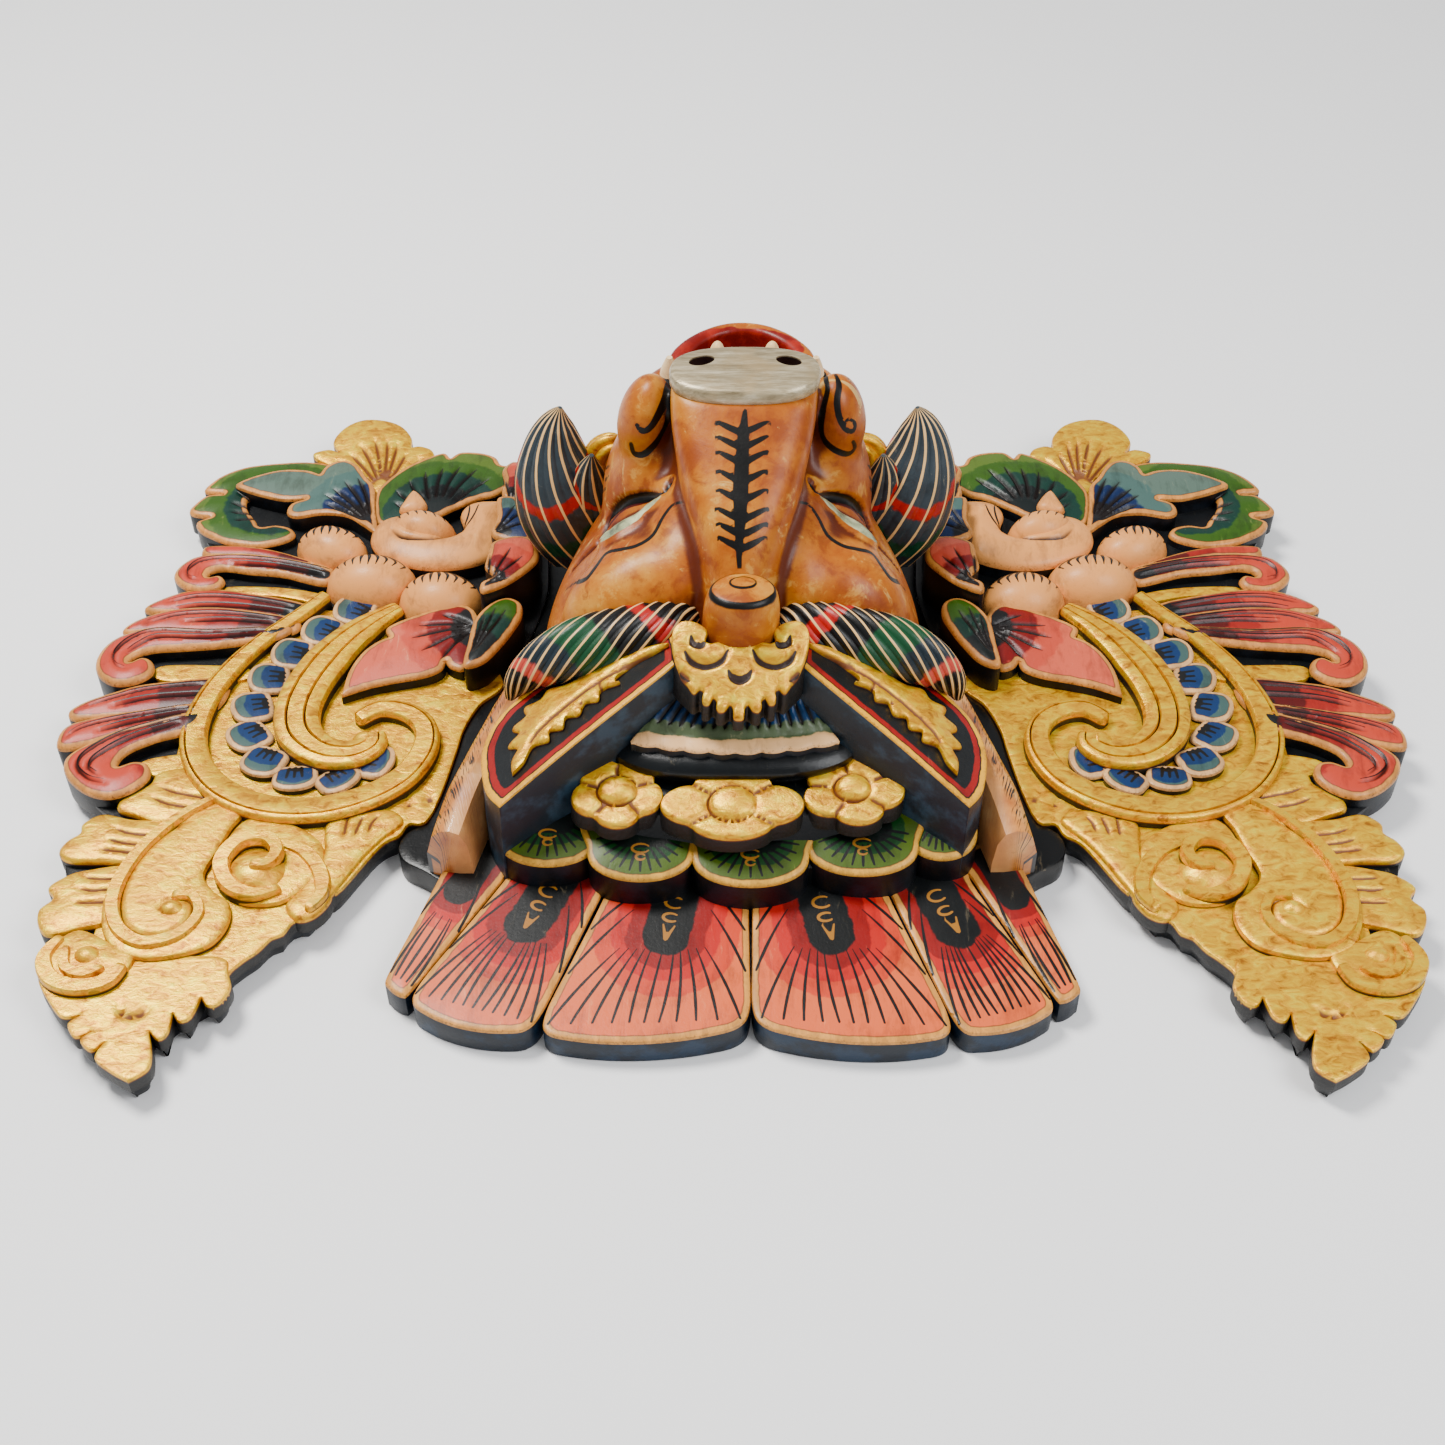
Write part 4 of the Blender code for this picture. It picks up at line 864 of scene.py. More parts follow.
def rayLeaf(store, leaf, side):
    start = leaf["start"]
    targets = leaf["targets"]
    if not targets:
        targets = [np.array(start) * 0.25 + np.array(p) * 0.75 for p in leaf["outline"][1:8:2]]
    lines = rays(start, targets, *leaf["rays"])
    carve(store, leaf["outline"], leaf["top"], slope=leaf.get("slope", (0, 0)), bulge=leaf["bulge"],
          grooves=lines, strokes=asStrokes(lines, *leaf["brush"]), rootAt=leaf["root"], reach=leaf["reach"],
          side=side)


def tanClouds(store, side):
    curls = asStrokes(rays((124, 112), clouds["bodyCurls"], 0.12, 0.1, 1.0), 0.5, 0.15)
    carve(store, clouds["body"], 8.0, bulge=5.0, bevel=1.8, side=side, strokes=curls,
          grooves=softCuts([clouds["bodyCut"]], 1.3, 2.4))
    hairs = []
    for x in clouds["browHairs"]:
        hairs.append((np.array([(x, 124), (x - 1, 118.5), (x - 3, 113.5)], float), [0.7, 0.8, 0.2]))
    dome(store, *clouds["brow"], side=side, strokes=hairs)
    carve(store, clouds["lobe"], 10.0, bulge=2.5, bevel=1.5, side=side)
    for (x, y), radii, turn in clouds["domes"]:
        hairs = []
        for k in range(-4, 5):
            path = [(x + k * 2.3 + 1.5, y + radii[1] * 0.66 - abs(k) * 0.45),
                    (x + k * 2.7 + k * 0.17 * 6, y + radii[1] * 0.28),
                    (x + k * 3.4, y - radii[1] * (0.1 - 0.03 * abs(k)))]
            hairs.append((curve(path, closed=False), [0.8, 0.75, 0.15]))
        dome(store, (x, y), radii, turn, side=side, strokes=hairs)


def blueScales(store, side):
    count = scaleRow["count"]
    path = curve(scaleRow["path"], closed=False, step=1.0)
    for k in range(count):
        at = int((k + 0.35) / count * (len(path) - 1))
        middle = path[at]
        along = path[min(at + 3, len(path) - 1)] - path[max(at - 3, 0)]
        along /= np.linalg.norm(along)
        out = np.array([-along[1], along[0]])
        if out @ (middle - np.array(scaleRow["centre"])) < 0:
            out = -out
        out = out + along * scaleRow["trail"]
        out /= np.linalg.norm(out)
        across = np.array([-out[1], out[0]])
        length = 17.0 if k < 7 else 14.0
        outline = [middle + out * length * u + across * scaleRow["half"] * v for u, v in scaleRow["outline"]]
        base = middle - out * length * 0.5
        marks = []
        for v in (-0.4, 0.0, 0.4):
            line = np.array([base + out * 1.5 + across * 6 * v, base + out * 7.5 + across * 8 * v])
            marks.append((line, [0.8, 0.5]))
        carve(store, outline, 4.6 - 0.2 * (k % 2), root=-4, bevel=1.0, bulge=0.8, slope=out * 0.10,
              strokes=marks, rootAt=base, reach=18.0, side=side)


# One wing's board, gold work, leaves, clouds and scales
def paintedWing(side):
    label = "left" if side < 0 else "right"
    slot = f"wing_{label}"
    board = Carving()
    carve(board, seam + lowerEdge + outerEdge, 0.0, root=-12.0, step=2.0, bevel=0.8, side=side, inset=3.0)
    board.build(f"{label}_board", materials["black"], slot, node=slot)
    for name, paint, fill in (("gold_scrolls", "gold", goldScrolls), ("red_fans", "red", fanLeaves)):
        store = Carving()
        fill(store, side)
        store.build(f"{label}_{name}", materials[paint], slot)
    for colour, leaves in rayLeaves.items():
        store = Carving()
        for leaf in leaves:
            rayLeaf(store, leaf, side)
        store.build(f"{label}_{colour}_leaves", materials[colour], slot)
    for name, paint, fill in (("tan_clouds", "tan", tanClouds), ("blue_scales", "scale", blueScales)):
        store = Carving()
        fill(store, side)
        store.build(f"{label}_{name}", materials[paint], slot)


for wingSide in (-1, 1):
    paintedWing(wingSide)
print("wings done")


# Crown: feather fan, green tier, flowers, rings, medallion and side wedges

materials["feather"] = paintedWood("feather_paint", zonesOf(
    (0, (0.018, 0.024, 0.026)), (0.42, (0.40, 0.016, 0.014)), (0.72, (0.62, 0.045, 0.03)),
    (0.98, (0.72, 0.14, 0.06)), (1.3, (0.82, 0.26, 0.10))), borderWidth=2.6, border=(0.86, 0.50, 0.16),
    wall=(0.012, 0.035, 0.062), grimeAndShade=0.5)
materials["tier"] = paintedWood("green_tier_paint", zonesOf(
    (0, (0.006, 0.030, 0.020)), (0.42, (0.010, 0.13, 0.03)), (0.72, (0.15, 0.22, 0.015)),
    (1.2, (0.30, 0.33, 0.03))), borderWidth=2.2, border=(0.85, 0.55, 0.12))
materials["band"] = paintedWood("crown_band_paint", zonesOf(
    (0, (0.88, 0.62, 0.36)), (0.20, (0.20, 0.25, 0.15)), (0.44, (0.008, 0.12, 0.26)),
    (0.86, (0.01, 0.014, 0.02))), borderWidth=0)
materials["wedge"] = paintedWood("wedge_paint", zonesOf(
    (0, (0.88, 0.55, 0.04)), (0.25, (0.02, 0.022, 0.025)), (0.31, (0.46, 0.025, 0.02)),
    (0.58, (0.02, 0.03, 0.036))), borderWidth=0, wall=(0.030, 0.055, 0.075))
materials["core"] = paintedWood("crown_core_paint", [(0, (0.006, 0.010, 0.013)), (1, (0.010, 0.020, 0.026))],
                                borderWidth=0, gloss=0.2)

fan = {
    "boundaries": [
        ((-110, -80), (-129, -137)), ((-87, -90), (-119, -145)), ((-49, -98.5), (-71, -159)),
        ((7, -101), (7, -156.5)), ((60, -98.5), (81.5, -160)), ((93, -93.5), (119, -148)),
        ((112, -83), (129, -141))],
    "bulge": 7.5, "rise": 4.0, "strokes": 15}


# A small painted C
def hookMark(middle, width, tall, turn=0.0, begin=50, end=310):
    angle = np.radians(np.linspace(begin, end, 16))
    points = np.stack([np.cos(angle) * width, np.sin(angle) * tall], axis=1)
    spin = np.array([[math.cos(turn), -math.sin(turn)], [math.sin(turn), math.cos(turn)]])
    return np.array(middle) + points @ spin.T


def featherFan():
    feathers = Carving()
    for i, (left, right) in enumerate(zip(fan["boundaries"], fan["boundaries"][1:])):
        a0, a1, b0, b1 = (np.array(p, float) for p in (*left, *right))
        gap = 0.45 * (b0 - a0) / np.linalg.norm(b0 - a0)
        a0, a1, b0, b1 = a0 + gap, a1 + gap, b0 - gap, b1 - gap
        out = (a1 + b1 - a0 - b0) / 2
        length = np.linalg.norm(out)
        out /= length
        wide = np.linalg.norm(b1 - a1)
        bulge = fan["bulge"] * min(1.0, wide / 50)
        outline = [a0 - out * 14, a0, a0 * 0.5 + a1 * 0.5, a0 * 0.12 + a1 * 0.88]
        for t in (0.05, 0.2, 0.4, 0.6, 0.8, 0.95):
            outline.append(a1 + (b1 - a1) * t + out * bulge * (1 - abs(2 * t - 1) ** 2.6))
        outline += [b0 * 0.12 + b1 * 0.88, b0 * 0.5 + b1 * 0.5, b0, b0 - out * 14]
        start, tip = (a0 + b0) / 2 - out * 5, (a1 + b1) / 2
        narrow = wide < 20
        tongue = np.array([start - out * 8, start + out * length * (0.30 if narrow else 0.42)])
        strokes = []
        count = 7 if narrow else fan["strokes"]
        for k in range(count):
            share = (k + 0.5) / count * 2 - 1
            bow = share * abs(share) ** 0.25
            if abs(bow) < 0.62:
                target = a1 + (b1 - a1) * (bow / 0.62 + 1) / 2 + out * bulge * 0.6
                origin = start + out * length * 0.18
            else:
                down = 1 - (abs(bow) - 0.62) / 0.38 * 0.85
                edgeStart, edgeEnd = (a0, a1) if bow < 0 else (b0, b1)
                target = edgeStart + (edgeEnd - edgeStart) * down
                origin = start - out * length * 0.25 * (1 - down)
            line = target - origin
            across = np.array([-line[1], line[0]]) * 0.045 * np.sign(bow)
            t = np.linspace(0.36, 0.91, 14)[:, None]
            strokes.append((origin + line * t + across * (4 * t * (1 - t)), [0.14, 0.42, 0.55, 0.6, 0.42]))
        marks = []
        if not narrow:
            turn = math.atan2(out[1], out[0]) + math.pi / 2
            for at, w, h in ((0.10, 3.6, 2.6), (0.22, 3.0, 1.9)):
                marks.append((hookMark(start + out * length * (at + 0.05), w, h, turn), [0.35, 0.6, 0.6, 0.4]))
            leaf = start + out * length * 0.40
            cross = np.array([-out[1], out[0]])
            marks.append((np.array([leaf - out * 4 + cross * 2.2, leaf + out * 2.5,
                                    leaf - out * 4 - cross * 2.2]),
                          [0.3, 0.8, 0.3]))

        def shape(flat, edge, tip=tip, out=out, length=length, i=i):
            return 0.5 * (i % 2) + fan["rise"] * (tip - flat) @ out / (length + 14)

        carve(feathers, outline, 0.0, root=-12.0, step=1.35, bevel=1.0, bulge=0.8, strokes=strokes, marks=marks,
              rootAt=tongue, reach=(15 if narrow else 21), lift=drawing["fan"], shape=shape)
    feathers.build("feather_fan", materials["feather"], "mask_head")


tier = {
    "scallops": [(-70, 19.5), (-34.5, 20.5), (7, 22.3), (49.5, 21.5), (80, 14)],
    "top": 32.0, "slope": 0.22, "foot": 15.0}
flowers = [((-44, -77), (17.5, 14.5), 5, 20, 7.2), ((-0.5, -83.5), (26.5, 14), 4, 45, 8.6),
           ((45, -75.5), (19.5, 14.5), 5, 30, 6.6)]


def greenTier():
    scallops = Carving()
    for i, (x, half) in enumerate(tier["scallops"]):
        near = -92.5 + 0.0021 * x * x
        outline = [(x + half, near + 14)]
        for angle in np.radians(np.arange(0, 181, 20)):
            outline.append((x + half * math.cos(angle), near - 14 * math.sin(angle) ** 0.8))
        outline.append((x - half, near + 14))
        start = np.array((x, near + 5))
        strokes = []
        for k in range(13):
            angle = math.radians(-172 + k * 27.3 / 2)
            reach = np.array([math.cos(angle) * half * 0.9, math.sin(angle) * 17])
            t = np.linspace(0.42, 0.92, 10)[:, None]
            strokes.append((start + reach * t, [0.25, 0.5, 0.55, 0.35]))
        marks = [(hookMark((x, near - 1.5), 3.4, 1.8, 0, 30, 330), [0.3, 0.5, 0.3]),
                 (hookMark((x, near - 5), 1.8, 1.2, 0, 30, 330), [0.3, 0.45, 0.3])]

        def shape(flat, edge, i=i, near=near):
            return tier["top"] + 0.5 * (i % 2) + tier["slope"] * (flat[:, 1] - near)

        carve(scallops, outline, 0.0, root=tier["foot"], step=1.2, bevel=0.9, bulge=1.2, strokes=strokes,
              marks=marks, rootAt=[start + (-half * 0.25, 0), start + (half * 0.25, 0)], reach=15, lift=0,
              shape=shape)
    scallops.build("green_tier", materials["tier"], "mask_head")

    gold = Carving()
    for (x, y), (wide, deep), lobes, turn, eye in flowers:
        outline, lines = [], []
        for k in range(60):
            angle = 2 * math.pi * k / 60
            reach = 0.80 + 0.22 * abs(math.sin(lobes / 2 * (angle - math.radians(turn)))) ** 0.7
            outline.append((x + wide * reach * math.cos(angle), y + deep * reach * math.sin(angle)))
        for k in range(lobes):
            angle = math.radians(turn) + 2 * math.pi * k / lobes
            cut = np.array([(math.cos(angle) * wide, math.sin(angle) * deep)])
            lines.append((np.array([(x, y)]) + cut * np.linspace(0.42, 0.86, 5)[:, None], 1.0, 1.4))
        ring = np.array([(x + eye * 1.08 * math.cos(a), y + eye * 0.86 * math.sin(a))
                         for a in np.linspace(0, 2 * math.pi, 25)])
        lines.append((ring, 0.7, 1.3))

        def shape(flat, edge, x=x, y=y, eye=eye):
            away = np.hypot((flat[:, 0] - x) / eye, (flat[:, 1] - y) / (eye * 0.8))
            button = 2.6 * np.sqrt(np.clip(1 - away**2, 0, 1))
            return 50 + 0.25 * (flat[:, 1] - y) + button - 0.05 * np.clip(edge - 6, 0, 9)

        carve(gold, outline, 0.0, root=38, step=1.1, bevel=1.3, grooves=lines, lift=0, shape=shape)
    gold.build("crown_flowers", materials["gold"], "mask_head")


# A level oval, wider at its far end where egg is more than nothing
def ovalRing(z, half, near, far, egg, sides, power):
    angle = 2 * math.pi * np.arange(sides) / sides
    x = np.sign(np.cos(angle)) * np.abs(np.cos(angle)) ** (2 / power) * half
    x = x * (1 + egg * np.sign(np.sin(angle)) * np.abs(np.sin(angle)) ** (2 / power))
    y = (near + far) / 2 + (far - near) / 2 * np.sign(np.sin(angle)) * np.abs(np.sin(angle)) ** (2 / power)
    return np.column_stack([x, y, np.full(sides, float(z))])


# A closed form through level ovals, each (z, half width, near y, far y)
def loft(store, rings, sides=96, power=2.4, soft=True):
    rings = np.array([(*ring, 0)[:5] for ring in rings], float)
    if soft:
        rings = curve(rings, closed=False, step=2.5)
    stackSkin(store, [ovalRing(*ring, sides, power) for ring in rings])


def stackSkin(store, layers, side=1, paint=None):
    sides = len(layers[0])
    faces = []
    for r in range(len(layers) - 1):
        for k in range(sides):
            j = (k + 1) % sides
            faces.append((r * sides + k, r * sides + j, (r + 1) * sides + j, (r + 1) * sides + k))
    faces.append(tuple(range(sides - 1, -1, -1)))
    faces.append(tuple(range((len(layers) - 1) * sides, len(layers) * sides)))
    points = np.vstack(layers)
    paint = paint(points) if callable(paint) else paint or {"edge": unpainted, "root": 2.0}
    store.add(points, faces, paint, side)


crownBand = {"half": 39.5, "near": -68.3, "sag": 5.5, "scallop": 1.5, "lobes": 8, "ridges": 17}


def crownCore():
    core = Carving()
    loft(core, [(6, 90, -96, 0), (26, 86, -96, 0), (30, 76, -91, 0), (33, 72, -89, 0), (43, 67, -85, 0),
                (46, 60, -79, 0)], power=2.8, soft=False)
    loft(core, [(47, 48, -71, 0), (50, 51, -73, 0), (52.5, 52, -74, 0), (55, 51.5, -73.8, 0),
                (57, 49.5, -72, 0), (58.5, 46, -69, 0)], power=3.2, soft=False)
    loft(core, [(57, 38, -63, -4), (64, 33, -59, -6), (71, 27, -54, -8), (78, 22, -50, -10),
                (86, 18, -45, -12)],
         power=2.4)
    core.build("crown_core", materials["core"], "mask_head")

    band = Carving()
    half, near, sag = crownBand["half"], crownBand["near"], crownBand["sag"]
    across = np.linspace(-half, half, 60)
    turn = (across + half) / (2 * half) * math.pi * crownBand["lobes"]
    scallop = crownBand["scallop"] * np.abs(np.sin(turn))
    edgeLine = np.column_stack([across, near + sag * (across / half) ** 2 - scallop ** 0.7])
    outline = [tuple(p) for p in edgeLine] + [(34, -54), (24, -44), (10, -36), (-10, -36), (-24, -44),
                                              (-34, -54)]
    base = np.column_stack([across, near + sag * (across / half) ** 2])
    strokes = []
    for k in range(crownBand["ridges"]):
        x = -half * 0.86 + k * 2 * half * 0.86 / (crownBand["ridges"] - 1)
        foot = near + sag * (x / half) ** 2 + 7.5
        strokes.append((np.array([(x, foot), (x * 0.9 + 0.6, foot + 4), (x * 0.8 + 1.4, foot + 8)]),
                        [0.2, 0.55, 0.5]))

    def shape(flat, edge):
        inward = flat[:, 1] - (near + sag * (flat[:, 0] / half) ** 2)
        return 62.5 + 1.6 * np.clip(edge / 4, 0, 1) + 12 * np.clip((inward - 5) / 17, 0, 1) ** 0.8

    grooves = [(path, 1.1, 1.3) for path, *_ in strokes]
    carve(band, outline, 0.0, root=56, step=1.1, bevel=0.8, grooves=grooves, strokes=strokes, rootAt=base,
          reach=20.0, lift=0, shape=shape)
    band.build("crown_band", materials["band"], "mask_head")


medal = {"x": 0.5, "base": 83.7, "slope": 0.62, "from": -67}
medalHalf = [
    (1.7, -70), (2.2, -66.5), (3.4, -65.4), (5.2, -67.4), (7.2, -67.8), (8.4, -66.4), (8.2, -64.4),
    (9.6, -63.2), (11.2, -65.4), (13.2, -65.2), (13.7, -63.2), (13.2, -61.4), (14.6, -60.4), (17, -61.8),
    (20, -58), (23.5, -53), (25.4, -47), (25.4, -42), (23, -39), (19.5, -38.4), (15, -39.6), (12.2, -42),
    (13, -44.5), (11, -46.5), (6, -44.5)]
medalLines = [
    ([(20.6, -49), (18, -52.4), (12.7, -54), (7, -52.2), (4.6, -48.4)], [0.4, 0.9, 0.9, 0.9, 0.4], 1.3),
    ([(18.4, -44), (17.4, -47), (14.6, -47.6), (13.4, -46)], [0.5, 1.5, 1.5, 0.7], 1.8),
    ([(22.5, -55), (18.5, -58.2)], [0.3, 0.3], 0.8)]
medalSmile = [(-4.2, -55.4), (-2.6, -57.6), (0, -58.6), (2.6, -57.6), (4.2, -55.4)]


def medallion():
    store = Carving()
    outline = [(x + medal["x"], y) for x, y in medalHalf + [(-x, y) for x, y in reversed(medalHalf)]]
    strokes = [(curve([(x + medal["x"], y) for x, y in medalSmile], closed=False, step=0.7),
                [0.5, 1.4, 1.5, 1.4, 0.5])]
    for path, widths, _ in medalLines:
        for side in (-1, 1):
            placed = [(side * x + medal["x"], y) for x, y in path]
            strokes.append((curve(placed, closed=False, step=0.7), widths))
    grooves = [(path, 1.2, 1.6) for path, _ in strokes]

    def shape(flat, edge):
        z = medal["base"] + medal["slope"] * (flat[:, 1] - medal["from"])
        for x in (-12.8, 12.8):
            away = np.hypot((flat[:, 0] - x - medal["x"]) / 7.6, (flat[:, 1] + 49) / 3.6)
            z += 1.5 * np.sqrt(np.clip(1 - away**2, 0, 1))
        return z + 1.0 * np.clip(edge / 6, 0, 1)

    carve(store, outline, 0.0, root=75, step=0.75, bevel=0.8, grooves=grooves, strokes=strokes, lift=0,
          shape=shape)
    store.build("medallion", materials["gold"], "mask_head")


wedge = {"outline": [(22, -49), (22, -49), (30, -54.5), (60, -73), (87, -91.5), (87, -91.5), (94, -78),
                     (96, -54), (84, -36), (50, -24), (26, -32)], "top": 103.0, "drop": 0.53}
acanthus = [(26, -40), (38, -43), (46, -48), (44, -51), (51, -51), (52, -56), (57, -55), (59, -60), (64, -59),
            (65, -64), (70, -63), (70, -68), (76, -68), (79, -75), (83, -79), (83, -79), (84, -72), (82, -66),
            (86, -63), (82, -58), (85, -54), (80, -50), (81, -45), (75, -44), (72, -40), (64, -41), (54, -38),
            (42, -36)]


def crownSides():
    black, gold, bands = Carving(), Carving(), Carving()
    for side in (-1, 1):
        def onWedge(flat, edge):
            return wedge["top"] - wedge["drop"] * flat[:, 0]

        carve(black, wedge["outline"], 0.0, root=6, step=1.4, bevel=0.7, rootAt="edge", reach=9.0, lift=0,
              shape=onWedge, side=side)
        spine = np.array([(30, -41), (48, -46), (62, -53), (74, -62), (81, -74)], float)
        grooves = [(curve(spine, closed=False), 0.9, 1.3)]
        for x, y, u, v in ((44, -45, 40, -38), (54, -49, 52, -39), (62, -53, 66, -43), (69, -58, 76, -48),
                           (75, -64, 81, -57), (52, -48, 50, -53), (60, -52, 58, -57), (68, -57, 66, -62)):
            grooves.append((np.array([(x, y), (u, v)], float), 0.8, 1.0))
        carve(gold, acanthus, 0.0, root=30, step=1.1, bevel=1.2, bulge=1.6, grooves=grooves, lift=0,
              shape=lambda flat, edge: onWedge(flat, edge) + 2.6, side=side)
        sweep(bands, [(84, -2), (89.5, -22), (97, -46), (103.5, -66), (108.5, -88)], [5, 8, 9.2, 9.6, 9.0],
              [49, 47.5, 45, 42, 38],
              [(-1.0, 0.55, 0), (-0.85, 0.84, 0), (-0.55, 0.97, 0), (-0.1, 1.0, 0), (0.35, 0.96, 0),
               (0.7, 0.86, 0), (1.0, 0.6, 0)], root=4, lift=0, side=side, ends=0.6)
    black.build("crown_wedges", materials["wedge"], "mask_head")
    gold.build("acanthus", materials["gold"], "mask_head")
    bands.build("hair_bands", materials["hair"], "mask_head")


# Tan paint, paler towards the face, with fine black hairs drawn on the outer side
def hairPaint():
    material, tree, shader, where = startMaterial("hair_band_paint")
    across, along = attribute(tree, "tone"), attribute(tree, "along")
    soft = noise(tree, where, 70.0, 4.0, 0.6)
    grain = noise(tree, where, 240.0, 6.0, 0.7, stretch=(1.0, 0.25, 1.0))
    colour = ramp(tree, soft, [(0.3, (0.42, 0.13, 0.02)), (0.5, (0.62, 0.26, 0.05)), (0.7, (0.78, 0.44, 0.16))])
    colour = blend(tree, span(tree, across, 0.1, -0.6, 0.0, 0.45), colour, (0.78, 0.46, 0.24))
    colour = blend(tree, span(tree, grain, 0.58, 0.74, 0.0, 0.5), colour, (0.30, 0.10, 0.04))
    lines = tree.nodes.new("ShaderNodeCombineXYZ")
    slanted = reckon(tree, "ADD", reckon(tree, "MULTIPLY", across, 9.0), reckon(tree, "MULTIPLY", along, 0.55))
    tree.links.new(slanted, lines.inputs[0])
    tree.links.new(reckon(tree, "MULTIPLY", along, 0.09), lines.inputs[1])
    hairs = noise(tree, lines.outputs[0], 1.5, 2.0, 0.5)
    mask = reckon(tree, "MULTIPLY", span(tree, hairs, 0.53, 0.60), span(tree, across, -0.15, 0.15))
    colour = deepen(tree, blend(tree, mask, colour, (0.02, 0.015, 0.015)), 1.2)
    tree.links.new(colour, shader.inputs["Base Color"])
    tree.links.new(reckon(tree, "ADD", reckon(tree, "MULTIPLY", soft, 0.3), 0.28), shader.inputs["Roughness"])
    shader.inputs["Coat Weight"].default_value = 0.3
    bump(tree, shader, reckon(tree, "ADD", grain, hairs), 0.4, 0.0004)
    return material


materials["hair"] = hairPaint()
featherFan()
greenTier()
crownCore()
medallion()
crownSides()
print("crown done")


# Face: soft forms run together as one skin, then painted

def temporary(store, name):
    mesh = bpy.data.meshes.new(name)
    mesh.from_pydata(np.vstack(store.points).tolist(), [], store.faces)
    piece = bpy.data.objects.new(name, mesh)
    bpy.context.scene.collection.objects.link(piece)
    return piece


# Apply one modifier to a piece's mesh
def applied(piece, kind, **settings):
    step = piece.modifiers.new(kind.lower(), kind)
    for key, value in settings.items():
        setattr(step, key, value)
    graph = bpy.context.evaluated_depsgraph_get()
    mesh = bpy.data.meshes.new_from_object(piece.evaluated_get(graph))
    piece.modifiers.clear()
    piece.data = mesh


def cutAway(piece, store):
    cutter = temporary(store, "cutter")
    applied(piece, "BOOLEAN", operation="DIFFERENCE", solver="EXACT", object=cutter)
    bpy.data.objects.remove(cutter)


def meshOf(piece):
    mesh = piece.data
    bpy.data.objects.remove(piece)
    return mesh


def ellipsoid(store, middle, radii, turn=(0, 0, 0), side=1, rings=24, sides=40, paint=None):
    spin = Matrix.Identity(3)
    for axis, angle in zip("XYZ", turn):
        spin = Matrix.Rotation(math.radians(angle), 3, axis) @ spin
    spin = np.array(spin)
    layers = []
    for r in range(1, rings):
        polar = math.pi * r / rings
        angle = 2 * math.pi * np.arange(sides) / sides
        local = np.column_stack([np.cos(angle) * math.sin(polar), np.sin(angle) * math.sin(polar),
                                 np.full(sides, -math.cos(polar))]) * np.array(radii)
        layers.append(np.array(middle) + local @ spin.T)
    stackSkin(store, layers, side, paint=paint)


face = {
    "voxel": 0.0014, "hollow": ((0, 42, 0), (56, 85, 66)),
    "body": [(8, 78, -58, 152, -0.1), (40, 73, -50, 146, -0.3), (58, 67, -38, 138, -0.38),
             (75, 58, -30, 128, -0.4), (88, 47, -20, 118, -0.36), (98, 35, -2, 104, -0.2)],
    "snout": [(60, 30, -44, 80, 0.2), (80, 25, -40, 78, 0.3), (98, 22.5, -34, 76, 0.3),
              (112, 23.5, -24, 74, 0.22), (125, 25.5, -11, 70, 0.14), (138, 28, 9, 66, 0.06),
              (150, 28.5, 29, 61, 0)],
    "jaw": [(50, 54, 60, 144, 0), (80, 47, 66, 138, -0.05), (104, 39, 70, 126, -0.15), (122, 31, 74, 115, -0.3),
            (134, 26, 77, 110.5, -0.4)],
    "mouth": [(98, 16, 78, 95, 0), (112, 18, 77, 99, -0.15), (124, 20, 75, 103, -0.3),
              (144, 21, 72, 105, -0.4)],
    "forms": [((39, -4, 80), (33, 21, 25), (0, 28, -20)), ((41, 13, 91), (18, 12, 14), (0, 30, -25)),
              ((24, 18, 90), (15, 42, 25), (0, 0, 0)), ((36, 60, 92), (19, 28, 34), (0, -12, 0)),
              ((38.5, 55, 125), (11, 14, 20), (0, -10, 0)), ((30, 79, 106), (14, 18, 24), (0, 0, 0))],
    "soften": {"rounds": 40, "below": 108.0, "above": 122.0, "most": 0.5, "least": 0.04}}

# Painted lines of the viewer's left half, read from the picture in its pixels: (points, half widths in mm)
faceInk = [
    ([(667.9, 482.4), (660.2, 492.6), (644.9, 496.4), (624.5, 501.5), (611.7, 511.7), (604.1, 527),
      (596.4, 542.3), (583.7, 555.1), (573.5, 566.6)], [1.5, 2.0, 1.7, 1.4, 0.6]),
    ([(683.2, 501.5), (673, 504.1), (662.8, 516.8), (652.6, 534.7), (637.2, 544.9), (621.9, 548.7),
      (606.6, 552.6), (596.4, 565.3), (586.2, 578.1), (573.5, 583.2), (565.8, 589.5)],
      [0.5, 1.1, 1.2, 1.3, 1.0, 0.5]),
    ([(601.5, 465.8), (599, 480), (597, 494), (596.4, 504)], [0.5, 0.9, 0.9, 0.5]),
    ([(600, 472), (606, 468), (611, 464)], [0.8, 0.8, 0.3]),
    ([(599, 482), (605, 480), (609, 475)], [0.8, 0.8, 0.3]),
    ([(598, 492), (603, 491), (607, 486)], [0.8, 0.8, 0.3])]
